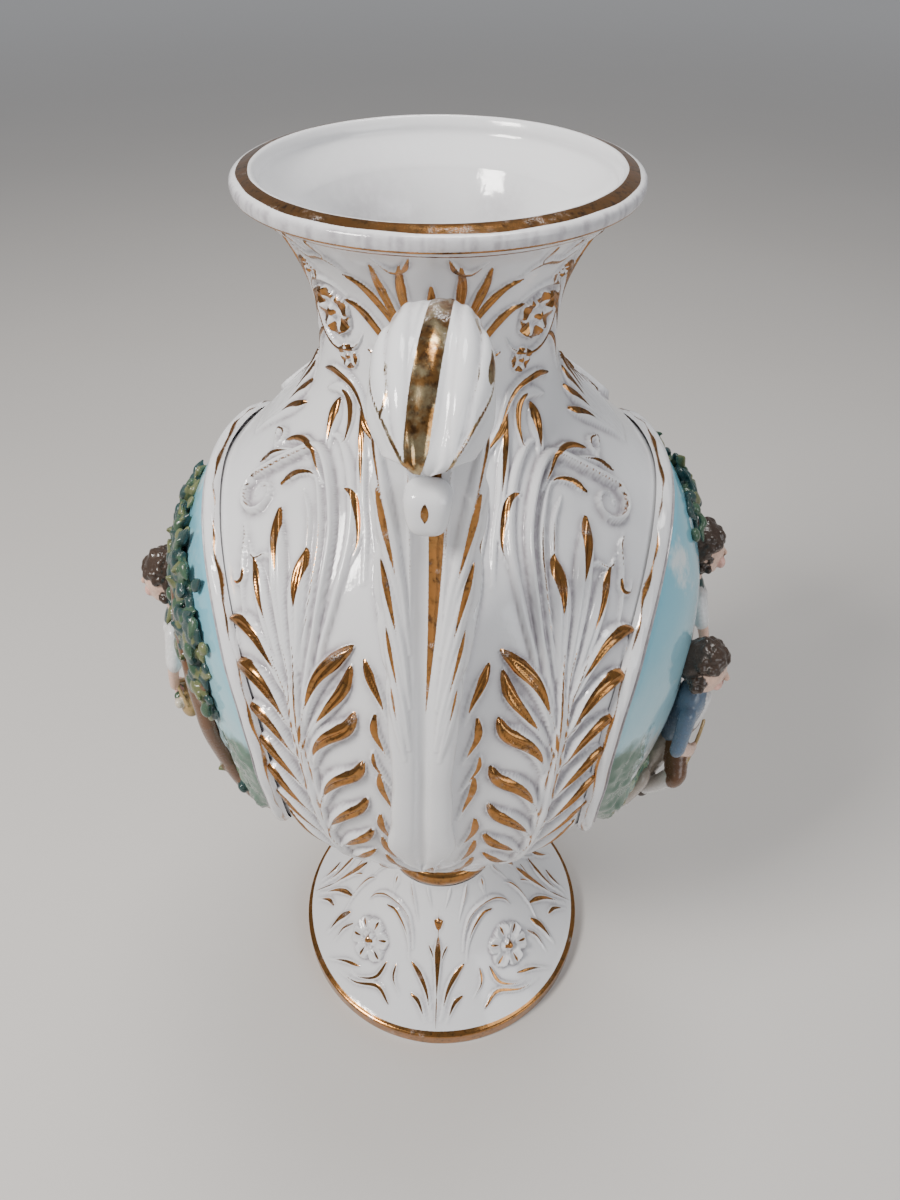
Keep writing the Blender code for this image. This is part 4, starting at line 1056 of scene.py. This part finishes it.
def ground(rng):
    made = []
    for k in range(30):
        x = -62 + 124 * k / 29
        y = -64.5 - 2.5 * math.cos(x / 22) + rng.uniform(-2, 2)
        made.append(((x, y, 1), (x + 3, y + 1, 1.5), rng.uniform(5, 7.5), 4.5,
                     (MOSS, GREEN, BROWN, STRAW, MOSS)[rng.integers(5)], .75))
    for k in range(46):
        x = rng.uniform(-58, 60)
        y = -60 + rng.uniform(-7, 4)
        color = (ROSE, CREAM, GREEN, WHITE, MOSS)[rng.integers(5)]
        made.append(((x, y, 6), (x + rng.uniform(-2, 2), y + 2.2, 7), 1.7, 1.2, color, 1))
    return made


def ball():
    """Corners and faces of a round ball of radius 1."""
    shape = bmesh.new()
    bmesh.ops.create_icosphere(shape, subdivisions=3, radius=1.0)
    corners = np.array([tuple(vertex.co) for vertex in shape.verts])
    faces = np.array([[vertex.index for vertex in face.verts] for face in shape.faces])
    shape.free()
    return corners, faces


def sculpt(name, elements, facing, material, voxel):
    """Overlapping limbs run together into one skin, coloured by the nearest limb, bent onto the bowl."""
    corners, faces = ball()
    spots = []
    for start, end, first, last, _, deep in elements:
        start, end = np.array(start, float), np.array(end, float)
        count = int(np.linalg.norm(end - start) / (.5 * min(first, last))) + 1 if np.any(start != end) else 0
        for k in range(count + 1):
            t = k / max(count, 1)
            size = first + (last - first) * t
            spots.append(start + (end - start) * t + corners * (size, size, size * deep))
    offsets = np.arange(len(spots))[:, None, None] * len(corners)
    made = shown(name, mesh_of(name, np.array(spots) * MM, (faces[None] + offsets).reshape(-1, 3)))
    remesh = made.modifiers.new("skin", "REMESH")
    remesh.mode = "VOXEL"
    remesh.voxel_size = voxel * 1.0
    relax = made.modifiers.new("relax", "SMOOTH")
    relax.factor, relax.iterations = 0.5, 2
    skinned = bpy.data.meshes.new_from_object(made.evaluated_get(bpy.context.evaluated_depsgraph_get()))
    bpy.data.objects.remove(made, do_unlink=True)
    co = np.empty(len(skinned.vertices) * 3, np.float32)
    skinned.vertices.foreach_get("co", co)
    co = co.reshape(-1, 3).astype(float)
    p = co / MM
    best = np.full(len(p), 1e9)
    tint = np.ones((len(p), 4))
    for start, end, first, last, color, deep in elements:
        a, b = np.array(start, float), np.array(end, float)
        d = b - a
        t = np.clip((p - a) @ d / max(d @ d, 1e-9), 0, 1)
        gap = p - a - t[:, None] * d
        gap[:, 2] /= deep
        distance = np.linalg.norm(gap, axis=1) - (first + (last - first) * t)
        near = distance < best
        best = np.where(near, distance, best)
        tint[near, :3] = color
    bent = on_bowl(co[:, 0], co[:, 1], PLAQUE_OUT - .0006 + np.maximum(co[:, 2], -.0015), facing)
    skinned.vertices.foreach_set("co", bent.astype(np.float32).ravel())
    colors = skinned.attributes.new("tint", "FLOAT_COLOR", "POINT")
    colors.data.foreach_set("color", tint.astype(np.float32).ravel())
    skinned.materials.clear()
    skinned.materials.append(material)
    skinned.shade_smooth()
    return shown(name, skinned)


def enamel():
    s = Shader("painted_enamel")
    tint = s.node("Attribute", {}, out="Color", attribute_name="tint")
    fine = s.noise(700.0, 4.0, .6)
    shade = s.mix(s.step(fine, .35, .65, .0, .38), tint, s.mix(.5, tint, (.10, .07, .05)))
    s.set(Base_Color=shade, Roughness=s.step(fine, .3, .7, .16, .30), IOR=1.5)
    s.bump(s.noise(1100.0, 3.0, .6), .0002, .35)
    return s.material


def make_medallions(glaze):
    painted = gilded_glaze("painted_sky", wear=0.4, painted=landscape)
    coloured = enamel()
    for side, facing, seed in (("front", -math.pi / 2, 3), ("back", math.pi / 2, 8)):
        rng = np.random.default_rng(seed)
        make_plaque(side, facing, painted)
        make_frame(side, facing, glaze)
        for part, elements, slot, voxel in (
                ("standing_figure", standing_figure(rng), "painted_figures", .00048),
                ("seated_figure", seated_figure(rng), "painted_figures", .00048),
                ("tree", tree(rng), "painted_foliage", .0006), ("ground", ground(rng), "painted_ground", .0007)):
            piece = sculpt(f"medallion_{side}_{part}_relief", elements, facing, coloured, voxel)
            ride_as(piece, slot, f"medallion_{side}_{part}")


# ---------------------------------------------------------------- setting, light and camera

SKY, SKY_POWER = (.86, .87, .90), .34


def area_light(name, place, aim, size, power, color):
    lamp = bpy.data.lights.new(name, "AREA")
    lamp.shape, lamp.size, lamp.size_y, lamp.energy, lamp.color = "RECTANGLE", size[0], size[1], power, color
    made = shown(name, lamp)
    made.location = place
    made.rotation_euler = (Vector(aim) - Vector(place)).to_track_quat("-Z", "Y").to_euler()


def make_studio():
    bpy.ops.mesh.primitive_plane_add(size=60.0, location=(0, 0, -.0002))
    floor = bpy.context.object
    floor.name = "studio_floor"
    s = Shader("pale_floor")
    away = s.node("VectorMath", {0: s.place()}, out="Value", operation="LENGTH")
    haze = s.step(away, .8, 4.6)
    near = s.mix(s.noise(3.0), (.60, .575, .55), (.64, .615, .59))
    s.set(Base_Color=s.mix(haze, near, (0, 0, 0)), Roughness=.72,
          Specular_IOR_Level=s.calc("SUBTRACT", .5, s.calc("MULTIPLY", haze, .5)),
          Emission_Color=(*SKY, 1), Emission_Strength=s.calc("MULTIPLY", haze, SKY_POWER))
    floor.data.materials.append(s.material)
    world = bpy.data.worlds.new("studio")
    world.use_nodes = True
    background = world.node_tree.nodes["Background"].inputs
    background["Color"].default_value = (*SKY, 1)
    background["Strength"].default_value = SKY_POWER
    bpy.context.scene.world = world
    area_light("key", (.55, -.75, 1.25), (0, 0, .22), (.34, .34), 21, (1.0, .97, .93))
    area_light("top", (-.25, .10, 1.5), (0, 0, .25), (.55, .45), 9, (1.0, .985, .96))
    area_light("fill", (.9, 1.0, .75), (0, 0, .2), (.8, .8), 6, (.93, .96, 1.0))


FRAME_HIGH = 1200   # pixels, the unit of the focal length


def make_camera():
    azimuth, pitch, yaw, roll = (math.radians(v) for v in (2.8, 42.25, .87, .32))
    out, height, focal = .262, .498, 838.0
    forward = Vector((-math.cos(pitch) * math.cos(yaw), math.cos(pitch) * math.sin(yaw), -math.sin(pitch)))
    right = forward.cross(Vector((0, 0, 1))).normalized()
    up = right.cross(forward)
    turned_right = right * math.cos(roll) + up * math.sin(roll)
    turned_up = -right * math.sin(roll) + up * math.cos(roll)
    basis = Matrix((turned_right, turned_up, -forward)).transposed().to_4x4()
    data = bpy.data.cameras.new("camera")
    data.sensor_width = 36
    data.lens = data.sensor_width * focal / FRAME_HIGH
    made = shown("camera", data)
    made.matrix_world = Matrix.Rotation(azimuth, 4, "Z") @ Matrix.Translation((out, 0, height)) @ basis
    bpy.context.scene.camera = made


def main():
    steel, rubber = steel_and_rubber()
    for node, look in (("tie_bolt", steel), ("tie_nut", steel), ("bolt_washer_upper", steel),
                       ("bolt_washer_lower", steel), ("sealing_washer", rubber)):
        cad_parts[node].data.materials.clear()
        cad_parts[node].data.materials.append(look)
    glaze = make_body()
    make_lip_and_lining(glaze)
    make_foot_underside(glaze)
    make_collar(glaze)
    make_handles(glaze)
    make_medallions(glaze)
    make_studio()
    make_camera()


main()
